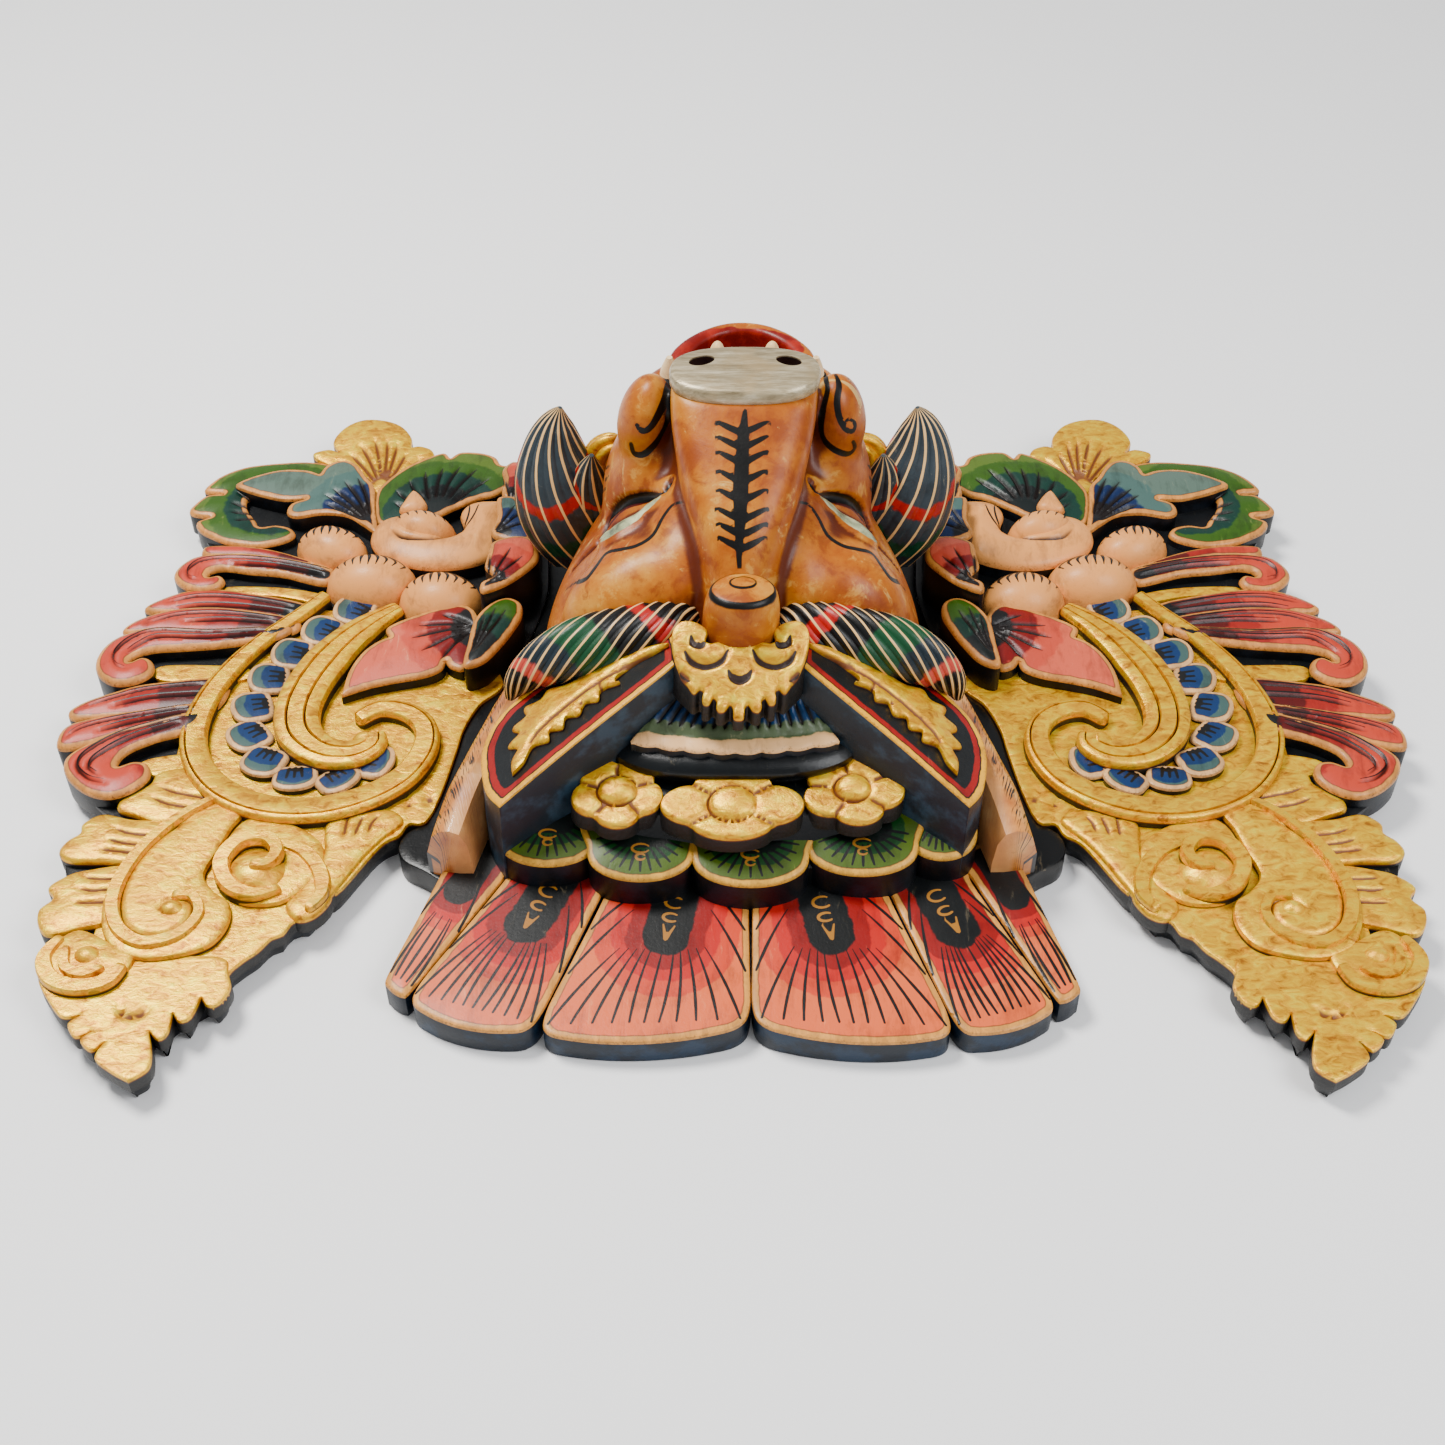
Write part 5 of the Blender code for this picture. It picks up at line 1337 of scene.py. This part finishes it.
lipInk = [
    ([(667, 372), (668, 390), (662, 407), (652, 425), (643, 431), (637, 425)], [2.4, 2.6, 2.0, 1.7, 1.0]),
    ([(669, 398), (668, 418), (658, 439), (645, 453), (634, 453), (631, 443)], [0.8, 1.3, 1.5, 1.4, 1.0]),
    ([(824, 372), (827.5, 388), (824, 405), (821, 423), (823, 437), (833, 448), (847, 453.5), (855, 448),
      (853, 441)],
     [0.8, 1.6, 1.2, 1.0, 1.4, 1.5, 1.4, 0.8]),
    ([(833, 369), (839, 384), (837, 400), (839, 416), (846, 429), (853, 431), (855, 423), (848, 418.5),
      (845, 423)],
     [0.6, 1.2, 1.3, 1.3, 1.3, 1.0, 0.8, 0.5]),
    ([(842, 370), (852, 383)], [0.6, 0.3]), ([(856, 382), (863, 398)], [0.6, 0.3]),
    ([(640, 372), (632, 382)], [0.6, 0.3])]
stemHairs = [(425, 714.5, 424), (440, 716, 437.5), (455, 716.5, 453), (474, 717, 472.5), (493, 717, 491.5),
             (512, 716, 510), (527, 717, 525), (541, 718, 538.5)]
eyeWhite = ([(661, 498), (649, 508), (634, 518), (618, 527), (602, 539)], [0.8, 4.2, 5.4, 4.4, 0.8])
eyeRed = ([(665, 491), (645, 500), (625, 507), (613, 520), (602, 536), (588, 554)],
          [0.4, 0.9, 1.0, 0.8, 0.6, 0.3])


def cameraRay(px, py):
    place, aim = Vector(view["place"]), Vector(view["aim"])
    ahead = (aim - place).normalized()
    right = Vector((1, 0, 0))
    up = right.cross(ahead)
    x, y = view["middle"]
    return place, (ahead * view["focalPixels"] + right * (px - x) - up * (py - y)).normalized()


# The picture's points as places on a surface, in metres
def onSurface(tree, line):
    found = []
    for px, py in curve(line, closed=False, step=3.0):
        start, ray = cameraRay(px, py)
        hit = tree.ray_cast(start, ray)[0]
        if hit is not None:
            found.append(tuple(hit))
    return np.array(found)


# The same places on the other half of the leaning head
def acrossFace(points):
    found = points.copy()
    lean = drawing["lean"] * np.maximum(points[:, 2] - drawing["leanFrom"] * drawing["mm"], 0)
    found[:, 0] = -(points[:, 0] - lean) + lean
    return found


# Distance outside the nearest painted line in millimetres, from places in metres
def linesField(points, lines):
    found = np.full(len(points), unpainted)
    for path, widths in lines:
        if len(path) < 2:
            continue
        reach = 0.008
        near = np.all((points > path.min(axis=0) - reach) & (points < path.max(axis=0) + reach), axis=1)
        away, share = nearest(points[near], path)
        half = np.interp(share, np.linspace(0, 1, len(widths)), widths)
        found[near] = np.minimum(found[near], away * 1000 - half)
    return found


def readMesh(items, field, width, kind=float):
    values = np.empty(len(items) * width, kind)
    items.foreach_get(field, values)
    return values.reshape(-1, width)


# The mean of each vertex's neighbours, for places or for single values
def besides(values, edges):
    columns = values.reshape(len(values), -1).T
    first, second = edges.T
    total = [np.bincount(first, column[second], len(values))
             + np.bincount(second, column[first], len(values)) for column in columns]
    count = np.bincount(edges.ravel(), minlength=len(values))
    return (np.array(total) / count).T.reshape(values.shape)


# Back from metres to the drawing, with the head's lean left in
def drawnPlace(points):
    return points / drawing["mm"] + np.array([0, drawing["middleY"], 0])


# Less than one inside the hollow behind the face, widened by a margin
def hollowShare(place, margin):
    middle, radii = np.array(face["hollow"], float)
    return (((place - middle) / (radii + margin)) ** 2).sum(axis=1)


# Run the face's forms together, and keep the lips and the nose crisper
def softened(points, edges):
    rule = face["soften"]
    place = drawnPlace(points)
    away = hollowShare(place, 3)
    crisp = np.clip((place[:, 2] - rule["below"]) / (rule["above"] - rule["below"]), 0, 1)
    weight = rule["most"] + (rule["least"] - rule["most"]) * crisp
    weight[(away < 1) | (place[:, 2] < 14)] = 0.0
    for _ in range(rule["rounds"]):
        points = points + weight[:, None] * (besides(points, edges) - points)
    return points


def makeFace():
    forms = Carving()
    loft(forms, face["body"], sides=80)
    loft(forms, face["snout"], sides=80, power=2.6)
    loft(forms, face["jaw"], sides=80)
    for middle, radii, turn in face["forms"]:
        for side in (-1, 1):
            ellipsoid(forms, middle, radii, turn, side)
    skin = temporary(forms, "face_forms")
    applied(skin, "REMESH", mode="VOXEL", voxel_size=face["voxel"])
    mouth, hollow = Carving(), Carving()
    loft(mouth, face["mouth"], sides=60)
    ellipsoid(hollow, *face["hollow"], rings=30, sides=60)
    cutAway(skin, mouth)
    cutAway(skin, hollow)
    applied(skin, "REMESH", mode="VOXEL", voxel_size=face["voxel"])
    applied(skin, "SMOOTH", factor=0.5, iterations=9)
    mesh = meshOf(skin)
    edges = readMesh(mesh.edges, "vertices", 2, int)
    points = softened(readMesh(mesh.vertices, "co", 3), edges)
    mesh.vertices.foreach_set("co", points.ravel())
    mesh.update()
    tree = BVHTree.FromPolygons([tuple(p) for p in points], [tuple(f.vertices) for f in mesh.polygons])
    print("face", len(mesh.polygons), "faces before paint")

    def both(lines):
        found = []
        for line, widths in lines:
            placed = onSurface(tree, line)
            if len(placed) > 1:
                found += [(placed, widths), (acrossFace(placed), widths)]
        return found

    ink = both(faceInk)
    for line, widths in lipInk:
        ink.append((onSurface(tree, line), widths))
    stem = onSurface(tree, [(745, 410), (743, 440), (741, 480), (740, 520), (739, 552), (739.5, 567)])
    ink.append((stem, [0.8, 2.1, 2.7, 2.9, 2.5, 1.5, 0.8]))
    for at, px, py in stemHairs:
        for way in (-1, 1):
            middle = 742
            reach = (middle - px) * way
            line = [(middle + reach * 0.15, at + 6), (middle + reach * 0.55, at + 1),
                    (middle + reach * 0.86, at - 3), (middle + reach, py - 2), (middle + reach * 1.02, py + 2)]
            ink.append((onSurface(tree, line), [1.4, 1.3, 1.1, 0.8, 0.3]))
    slit = both(faceInk[:1])
    white, red = both([eyeWhite]), both([eyeRed])
    fields = {"stroke": linesField(points, ink), "mark": linesField(points, white)}
    fields["tone"] = linesField(points, red)
    cut = np.clip(linesField(points, [(path, [0.5]) for path, _ in slit]), 0, unpainted)
    normals = readMesh(mesh.vertices, "normal", 3)
    ball = np.clip(1 - fields["mark"] / 2.5, 0, 1)
    points += normals * (-0.0024 * np.exp(-((cut / 1.6) ** 2)) + 0.0010 * ball)[:, None]
    mesh.vertices.foreach_set("co", points.ravel())
    # How concave each place is; the face paint darkens concave places, partly as dirt and partly as painted
    # shade
    hollowness = ((besides(points, edges) - points) * normals).sum(axis=1) * 1000
    for _ in range(6):
        hollowness = 0.5 * hollowness + 0.5 * besides(hollowness, edges)
    fields["groove"] = np.clip(hollowness * 22, 0, 1)
    place = drawnPlace(points)
    fields["along"] = (hollowShare(place, 1.5) < 1).astype(float)
    inMouth = (np.hypot((place[:, 0] - 2) / 27, (place[:, 1] - 90) / 15.5) < 1) & (place[:, 2] > 95)
    fields["root"] = inMouth.astype(float)
    for _ in range(2):
        fields["root"] = 0.5 * fields["root"] + 0.5 * besides(fields["root"], edges)
    fields["edge"] = np.full(len(points), unpainted)
    for field in paintFields:
        values = mesh.attributes.new(field, "FLOAT", "POINT")
        values.data.foreach_set("value", fields[field].astype(np.float32))
    finishPiece("face_skin", mesh, materials["skin"], sharp=60)


# Orange-tan lacquer, browned in the creases (partly dirt, partly painted shade) and paler where it is rubbed
def skinPaint():
    material, tree, shader, where = startMaterial("face_paint")
    soft = noise(tree, where, 28.0, 5.0, 0.62)
    mottle = noise(tree, where, 95.0, 6.0, 0.65, distort=0.4)
    fine = noise(tree, where, 700.0, 5.0, 0.65)
    wobble = reckon(tree, "SUBTRACT", noise(tree, where, 200.0, 3.0), 0.5)
    colour = ramp(tree, soft, [(0.34, (0.42, 0.12, 0.012)), (0.46, (0.60, 0.22, 0.02)),
                               (0.56, (0.70, 0.31, 0.04)), (0.68, (0.82, 0.46, 0.14))])
    colour = blend(tree, span(tree, mottle, 0.50, 0.66, 0.0, 0.75), colour, (0.44, 0.13, 0.015))
    colour = blend(tree, span(tree, mottle, 0.44, 0.32, 0.0, 0.6), colour, (0.88, 0.56, 0.24))
    scuff = noise(tree, where, 45.0, 6.0, 0.7, distort=1.2)
    colour = blend(tree, span(tree, scuff, 0.60, 0.70, 0.0, 0.7), colour, (0.93, 0.74, 0.50))
    groove = attribute(tree, "groove")
    # Darker in the concave creases: partly dirt, partly painted shade
    dirtAndShade = reckon(tree, "MULTIPLY", groove, reckon(tree, "ADD", mottle, 0.35), True)
    colour = blend(tree, span(tree, dirtAndShade, 0.06, 0.5, 0.0, 0.9), colour, (0.22, 0.05, 0.012))
    flecks = span(tree, fine, 0.62, 0.72)
    colour = blend(tree, reckon(tree, "MULTIPLY", flecks, 0.4), colour, (0.30, 0.09, 0.02))
    white = reckon(tree, "ADD", attribute(tree, "mark"), wobble)
    eye = ramp(tree, mottle, [(0.35, (0.25, 0.27, 0.26)), (0.5, (0.60, 0.62, 0.56)),
                              (0.62, (0.86, 0.86, 0.80))])
    colour = blend(tree, span(tree, white, 0.25, -0.25), colour, eye)
    red = reckon(tree, "ADD", attribute(tree, "tone"), reckon(tree, "MULTIPLY", wobble, 0.5))
    colour = blend(tree, span(tree, red, 0.2, -0.2), colour, (0.16, 0.008, 0.008))
    ink = reckon(tree, "ADD", attribute(tree, "stroke"), reckon(tree, "MULTIPLY", wobble, 0.45))
    colour = blend(tree, span(tree, ink, 0.2, -0.2), colour, (0.012, 0.010, 0.011))
    mouthRed = blend(tree, span(tree, mottle, 0.4, 0.65), (0.34, 0.022, 0.012), (0.55, 0.06, 0.03))
    colour = blend(tree, span(tree, attribute(tree, "root"), 0.3, 0.6), colour, mouthRed)
    bare = blend(tree, span(tree, mottle, 0.4, 0.65), (0.06, 0.035, 0.02), (0.11, 0.065, 0.035))
    colour = blend(tree, span(tree, attribute(tree, "along"), 0.4, 0.6), colour, bare)
    colour = deepen(tree, blend(tree, 1.0, colour, (0.82, 0.84, 0.62), "MULTIPLY"), 1.5)
    tree.links.new(colour, shader.inputs["Base Color"])
    rough = reckon(tree, "ADD", reckon(tree, "MULTIPLY", mottle, 0.3), 0.24)
    tree.links.new(rough, shader.inputs["Roughness"])
    shader.inputs["Specular IOR Level"].default_value = 0.22
    shader.inputs["Coat Weight"].default_value = 0.06
    shader.inputs["Coat Roughness"].default_value = 0.18
    bump(tree, shader, reckon(tree, "ADD", mottle, reckon(tree, "MULTIPLY", fine, 0.3)), 0.35, 0.0006)
    return material


knobShape = {
    "middle": (0.6, -36.3), "deep": 0.80, "ring": (12.0, 8.8), "button": (4.8, 3.4, 2.6),
    "profile": [(11.5, 74), (13.4, 82), (14.3, 92), (14.4, 101), (14.1, 107), (13.4, 111), (12.6, 113.2),
                (11.6, 114.4), (10, 115.2), (6.5, 115.8), (3, 116.2), (0.3, 116.3)]}


def knob():
    store = Carving()
    x0, y0 = knobShape["middle"]

    def painted(points):
        x, y, top = points[:, 0] - x0, points[:, 1] - y0, points[:, 2] > 106
        wide, deep = knobShape["ring"]
        near = np.clip(-y / deep, 0, 1)
        ring = np.abs(np.hypot(x / wide, y / deep) - 1) * 10 - (0.45 + 0.75 * near)
        wide, deep, shift = knobShape["button"]
        small = np.abs(np.hypot(x / wide,
                                (y - shift) / deep) - 1) * 3.5 - (0.25 + 0.5 * np.clip((shift - y) / deep, 0,
                                    1))
        # The groove value darkens the knob's foot, where it meets the face, as painted shade
        return {"edge": unpainted, "stroke": np.where(top, np.minimum(ring, small), unpainted),
                "tone": unpainted, "mark": unpainted,
                "groove": np.exp(-((points[:, 2] - 76) / 5) ** 2)}

    sides = 96
    angle = 2 * math.pi * np.arange(sides) / sides
    layers = []
    for radius, z in curve(knobShape["profile"], closed=False, step=0.5):
        layers.append(np.column_stack([x0 + np.cos(angle) * radius,
                                       y0 + np.sin(angle) * radius * knobShape["deep"], np.full(sides, z)]))
    stackSkin(store, layers, paint=painted)
    store.build("forehead_knob", materials["skin"], "mask_head", sharp=50)


# A ridged lock of hair through (point, radius) stations, with pale lines painted along it
def limb(store, stations, side, ridges=11, depth=0.9, twist=0.5, fine=14, step=1.3, stripe=0.55, slant=0.0):
    path = curve([(*p, r) for p, r in stations], closed=False, step=step)
    places, radii = path[:, :3], path[:, 3]
    along = np.gradient(places, axis=0)
    along /= np.linalg.norm(along, axis=1)[:, None]
    first = np.cross(along[0], (0, 0, 1.0))
    run = np.concatenate([[0], np.cumsum(np.linalg.norm(np.diff(places, axis=0), axis=1))])
    share = run / run[-1]
    layers, marks, shares, grooves = [], [], [], []
    angle = 2 * math.pi * np.arange(ridges * fine) / (ridges * fine)
    wave = np.abs((angle * ridges / (2 * math.pi)) % 1.0 - 0.5) * 2
    for i in range(len(places)):
        first = first - along[i] * (first @ along[i])
        first /= np.linalg.norm(first)
        second = np.cross(along[i], first)
        turns = angle + twist * share[i] * 2 * math.pi
        radius = radii[i] - depth * min(1, radii[i] / 6) * (1 - wave) ** 2
        ring = places[i] + radius[:, None] * (np.cos(turns)[:, None] * first + np.sin(turns)[:, None] * second)
        layers.append(ring)
        marks.append((1 - wave) * math.pi * radii[i] / ridges - stripe * min(1, radii[i] / 7))
        grooves.append(wave * 0.25)
        shares.append(share[i] * 2 + slant * np.cos(turns))
    paint = {"edge": unpainted, "root": np.concatenate(shares), "mark": np.concatenate(marks),
             "groove": np.concatenate(grooves)}
    stackSkin(store, layers, side, paint=paint)


locks = {
    "brow": [((15, -19, 87), 3), ((21, -22, 87), 8), ((31, -26, 85), 11.5), ((46, -28, 82), 12.5),
             ((62, -30, 78.5), 12), ((75, -31, 72), 9.5), ((84, -31, 63), 6), ((88, -31, 54), 2)],
    "ear": [((66, 88, 34), 17), ((73, 88, 52), 20.5), ((77, 91, 67), 18.5), ((78, 94, 81), 13.5),
            ((77, 95, 93), 7.5), ((75, 95, 101), 1.0)],
    "tuft": [((60, 84, 44), 11), ((62, 82, 64), 9.5), ((62, 80, 79), 6), ((61, 78, 89), 1.0)],
    "curl": [((57, 98, 46), 7), ((60, 97, 63), 7.5), ((59, 97, 75), 7), ((54, 96, 81), 5.5),
             ((49, 96, 79), 4.5), ((47.5, 95, 73), 3.5), ((50, 94, 69), 2)]}
eyelet = {"middle": (22, -10, 87), "radii": (6.4, 5.2, 5.8)}
plateShape = {"nostril": (16.8, 50.9, 156), "size": (5.2, 3.1, 8), "turn": -20}


def locksAndEars():
    brows, ears, gold, eyelets = Carving(), Carving(), Carving(), Carving()
    x0, y0, _ = eyelet["middle"]

    def rimmed(points):
        return {"edge": unpainted, "mark": np.abs(points[:, 1] - y0 + 3.4) - 0.55}

    for side in (-1, 1):
        limb(brows, locks["brow"], side, ridges=12, twist=1.0, slant=0.16)
        limb(ears, locks["ear"], side, ridges=15, twist=0.1, slant=0.5)
        limb(ears, locks["tuft"], side, ridges=9, twist=0.1, slant=0.4)
        limb(gold, locks["curl"], side, ridges=5, depth=2.2, twist=0.4, stripe=-9)
        ellipsoid(eyelets, eyelet["middle"], eyelet["radii"], (0, 0, 0), side, paint=rimmed)
    brows.build("brow_locks", materials["brow"], "mask_head", sharp=50)
    ears.build("ear_locks", materials["locks"], "mask_head", sharp=50)
    gold.build("cheek_curls", materials["gold"], "mask_head", sharp=60)
    eyelets.build("brow_eyelets", materials["brow"], "mask_head", sharp=60)


def snoutDetails():
    plate = Carving()
    rings = [(146, 27.5, 30, 60.5), (149.5, 28.2, 29.8, 61), (150.4, 29, 29.5, 61.4), (153, 29.2, 30, 61.6),
             (154.6, 28.6, 31, 61), (155.2, 27, 32.4, 60), (155.4, 20, 38, 55), (155.4, 4, 45, 48)]
    loft(plate, rings, sides=120, power=2.5, soft=False)
    piece = temporary(plate, "nose_plate")
    x, y, z = plateShape["nostril"]
    for side in (-1, 1):
        holes = Carving()
        ellipsoid(holes, (side * x, y, z), plateShape["size"], (0, 0, side * plateShape["turn"]))
        cutAway(piece, holes)
    finishPiece("nose_plate", meshOf(piece), materials["nose"], sharp=40)
    ivory = Carving()
    for side in (-1, 1):
        ellipsoid(ivory, (10.7, 64.5, 147), (3.3, 4.0, 7.6), (0, 0, 0), side, paint={"edge": unpainted})
        limb(ivory, [((28, 77, 118), 4.5), ((29.5, 79.5, 129), 3.8), ((29.5, 79.5, 137), 1.2)], side, depth=0.0,
             stripe=-9)
    ivory.build("teeth", materials["ivory"], "mask_head", sharp=60)


# Greyed gold, brushed across, with the shallow nostril pockets coloured near black as painted shade of deep
# nostrils
def nosePaint():
    material, tree, shader, where = startMaterial("nose_paint")
    brushed = noise(tree, where, 300.0, 6.0, 0.7, stretch=(0.2, 1.4, 1.0), distort=0.4)
    soft = noise(tree, where, 60.0, 4.0)
    colour = ramp(tree, brushed, [(0.3, (0.16, 0.12, 0.06)), (0.5, (0.36, 0.29, 0.17)),
                                  (0.68, (0.58, 0.50, 0.34))])
    colour = blend(tree, span(tree, soft, 0.5, 0.7, 0.0, 0.5), colour, (0.42, 0.28, 0.12))
    split = tree.nodes.new("ShaderNodeSeparateXYZ")
    tree.links.new(where, split.inputs[0])
    height = split.outputs[2]
    # Painted shade: below the plate's top, the nostril pockets are coloured near black so they read as deep
    nearHole = span(tree, height, 0.1551, 0.1545)
    middle = reckon(tree, "SUBTRACT", split.outputs[0], 0.005)
    across = reckon(tree, "LESS_THAN", reckon(tree, "ABSOLUTE", middle), 0.0245)
    back = reckon(tree, "GREATER_THAN", split.outputs[1], 0.0395)
    front = reckon(tree, "LESS_THAN", split.outputs[1], 0.0495)
    nostrilShade = reckon(tree, "MULTIPLY", reckon(tree, "MULTIPLY", nearHole, across),
                  reckon(tree, "MULTIPLY", back, front))
    colour = blend(tree, nostrilShade, colour, (0.02, 0.008, 0.008))
    tree.links.new(colour, shader.inputs["Base Color"])
    shader.inputs["Metallic"].default_value = 0.45
    shader.inputs["Roughness"].default_value = 0.38
    bump(tree, shader, brushed, 0.5, 0.0005)
    return material


materials["skin"] = skinPaint()
materials["nose"] = nosePaint()
materials["locks"] = paintedWood("ear_lock_paint", zonesOf(
    (0, (0.06, 0.085, 0.10)), (0.72, (0.012, 0.15, 0.09)), (0.95, (0.10, 0.135, 0.155)),
    (1.22, (0.55, 0.03, 0.015)), (1.36, (0.10, 0.13, 0.15))), borderWidth=0, markColour=(0.84, 0.62, 0.34),
    grimeAndShade=0.2)
materials["brow"] = paintedWood("brow_lock_paint", zonesOf(
    (0, (0.012, 0.018, 0.022)), (0.40, (0.55, 0.03, 0.02)), (0.56, (0.010, 0.014, 0.016)),
    (0.92, (0.010, 0.15, 0.07)), (1.28, (0.05, 0.08, 0.10)), (1.55, (0.66, 0.16, 0.12)),
    (1.70, (0.02, 0.03, 0.034))), borderWidth=0, markColour=(0.82, 0.60, 0.33), grimeAndShade=0.2)
materials["ivory"] = paintedWood("ivory_paint", [(0, (0.86, 0.66, 0.40)), (1, (0.90, 0.74, 0.50))],
                                 borderWidth=0)


def headBlock():
    near = [(0, -100), (60, -101), (96, -97), (110, -91), (120, -84), (128, -79), (131, -72), (129, -65),
            (124, -61)]
    far = [(92, 163), (66, 168), (34, 172), (0, 173)]
    half = near + [(x - 0.3, y) for x, y in seam[::-1]] + far
    outline = half + [(-x, y) for x, y in reversed(half[1:-1])]
    store = Carving()
    carve(store, outline, 0.0, root=-11.9, step=3.0, bevel=0.8)
    block = temporary(store, "block")
    hollow = Carving()
    ellipsoid(hollow, *face["hollow"], rings=30, sides=60)
    cutAway(block, hollow)
    mesh = meshOf(block)
    for field in ("edge", *farFields):
        if field not in mesh.attributes:
            mesh.attributes.new(field, "FLOAT", "POINT").data.foreach_set("value",
                [unpainted] * len(mesh.vertices))
    finishPiece("head_block", mesh, materials["core"], node="mask_head")


headBlock()
makeFace()
knob()
locksAndEars()
snoutDetails()
print("head done")


# Stage, camera and light

def stage():
    bm = bmesh.new()
    bmesh.ops.create_grid(bm, x_segments=2, y_segments=2, size=4.0)
    mesh = bpy.data.meshes.new("floor")
    bm.to_mesh(mesh)
    bm.free()
    material, tree, shader, where = startMaterial("pale_floor")
    tone = noise(tree, where, 3.0, 2.0)
    tree.links.new(ramp(tree, tone, [(0, (0.93, 0.93, 0.93)), (1, (0.96, 0.96, 0.96))]),
                   shader.inputs["Base Color"])
    shader.inputs["Roughness"].default_value = 0.6
    mesh.materials.append(material)
    floor = bpy.data.objects.new("floor", mesh)
    floor.location.z = -0.0005
    bpy.context.scene.collection.objects.link(floor)


def addLight(name, place, aim, size, energy, colour=(1, 1, 1)):
    data = bpy.data.lights.new(name, "AREA")
    data.shape = "DISK"
    data.size = size
    data.energy = energy
    data.color = colour
    light = bpy.data.objects.new(name, data)
    light.location = place
    light.rotation_euler = (Vector(aim) - Vector(place)).to_track_quat("-Z", "Y").to_euler()
    bpy.context.scene.collection.objects.link(light)


def photoCamera():
    data = bpy.data.cameras.new("photo_camera")
    data.sensor_width = 36.0
    data.lens = data.sensor_width * (view["focalPixels"] / view["width"])
    data.shift_x = view["shiftX"]
    data.clip_start = 0.01
    camera = bpy.data.objects.new("photo_camera", data)
    camera.location = view["place"]
    camera.rotation_euler = (Vector(view["aim"]) - Vector(view["place"])).to_track_quat("-Z", "Y").to_euler()
    bpy.context.scene.collection.objects.link(camera)
    bpy.context.scene.camera = camera


def lightRoom():
    world = bpy.data.worlds.new("studio")
    bpy.context.scene.world = world
    world.use_nodes = True
    background = world.node_tree.nodes["Background"]
    background.inputs[0].default_value = (0.97, 0.98, 1.0, 1)
    background.inputs[1].default_value = 0.55
    addLight("key", (-0.55, 0.25, 1.2), (0, 0, 0.03), 0.45, 26, (1.0, 0.98, 0.95))
    addLight("fill", (0.8, -0.5, 1.1), (0, 0, 0.03), 0.7, 14, (0.97, 0.98, 1.0))


stage()
photoCamera()
lightRoom()
print("stage, camera and light done")
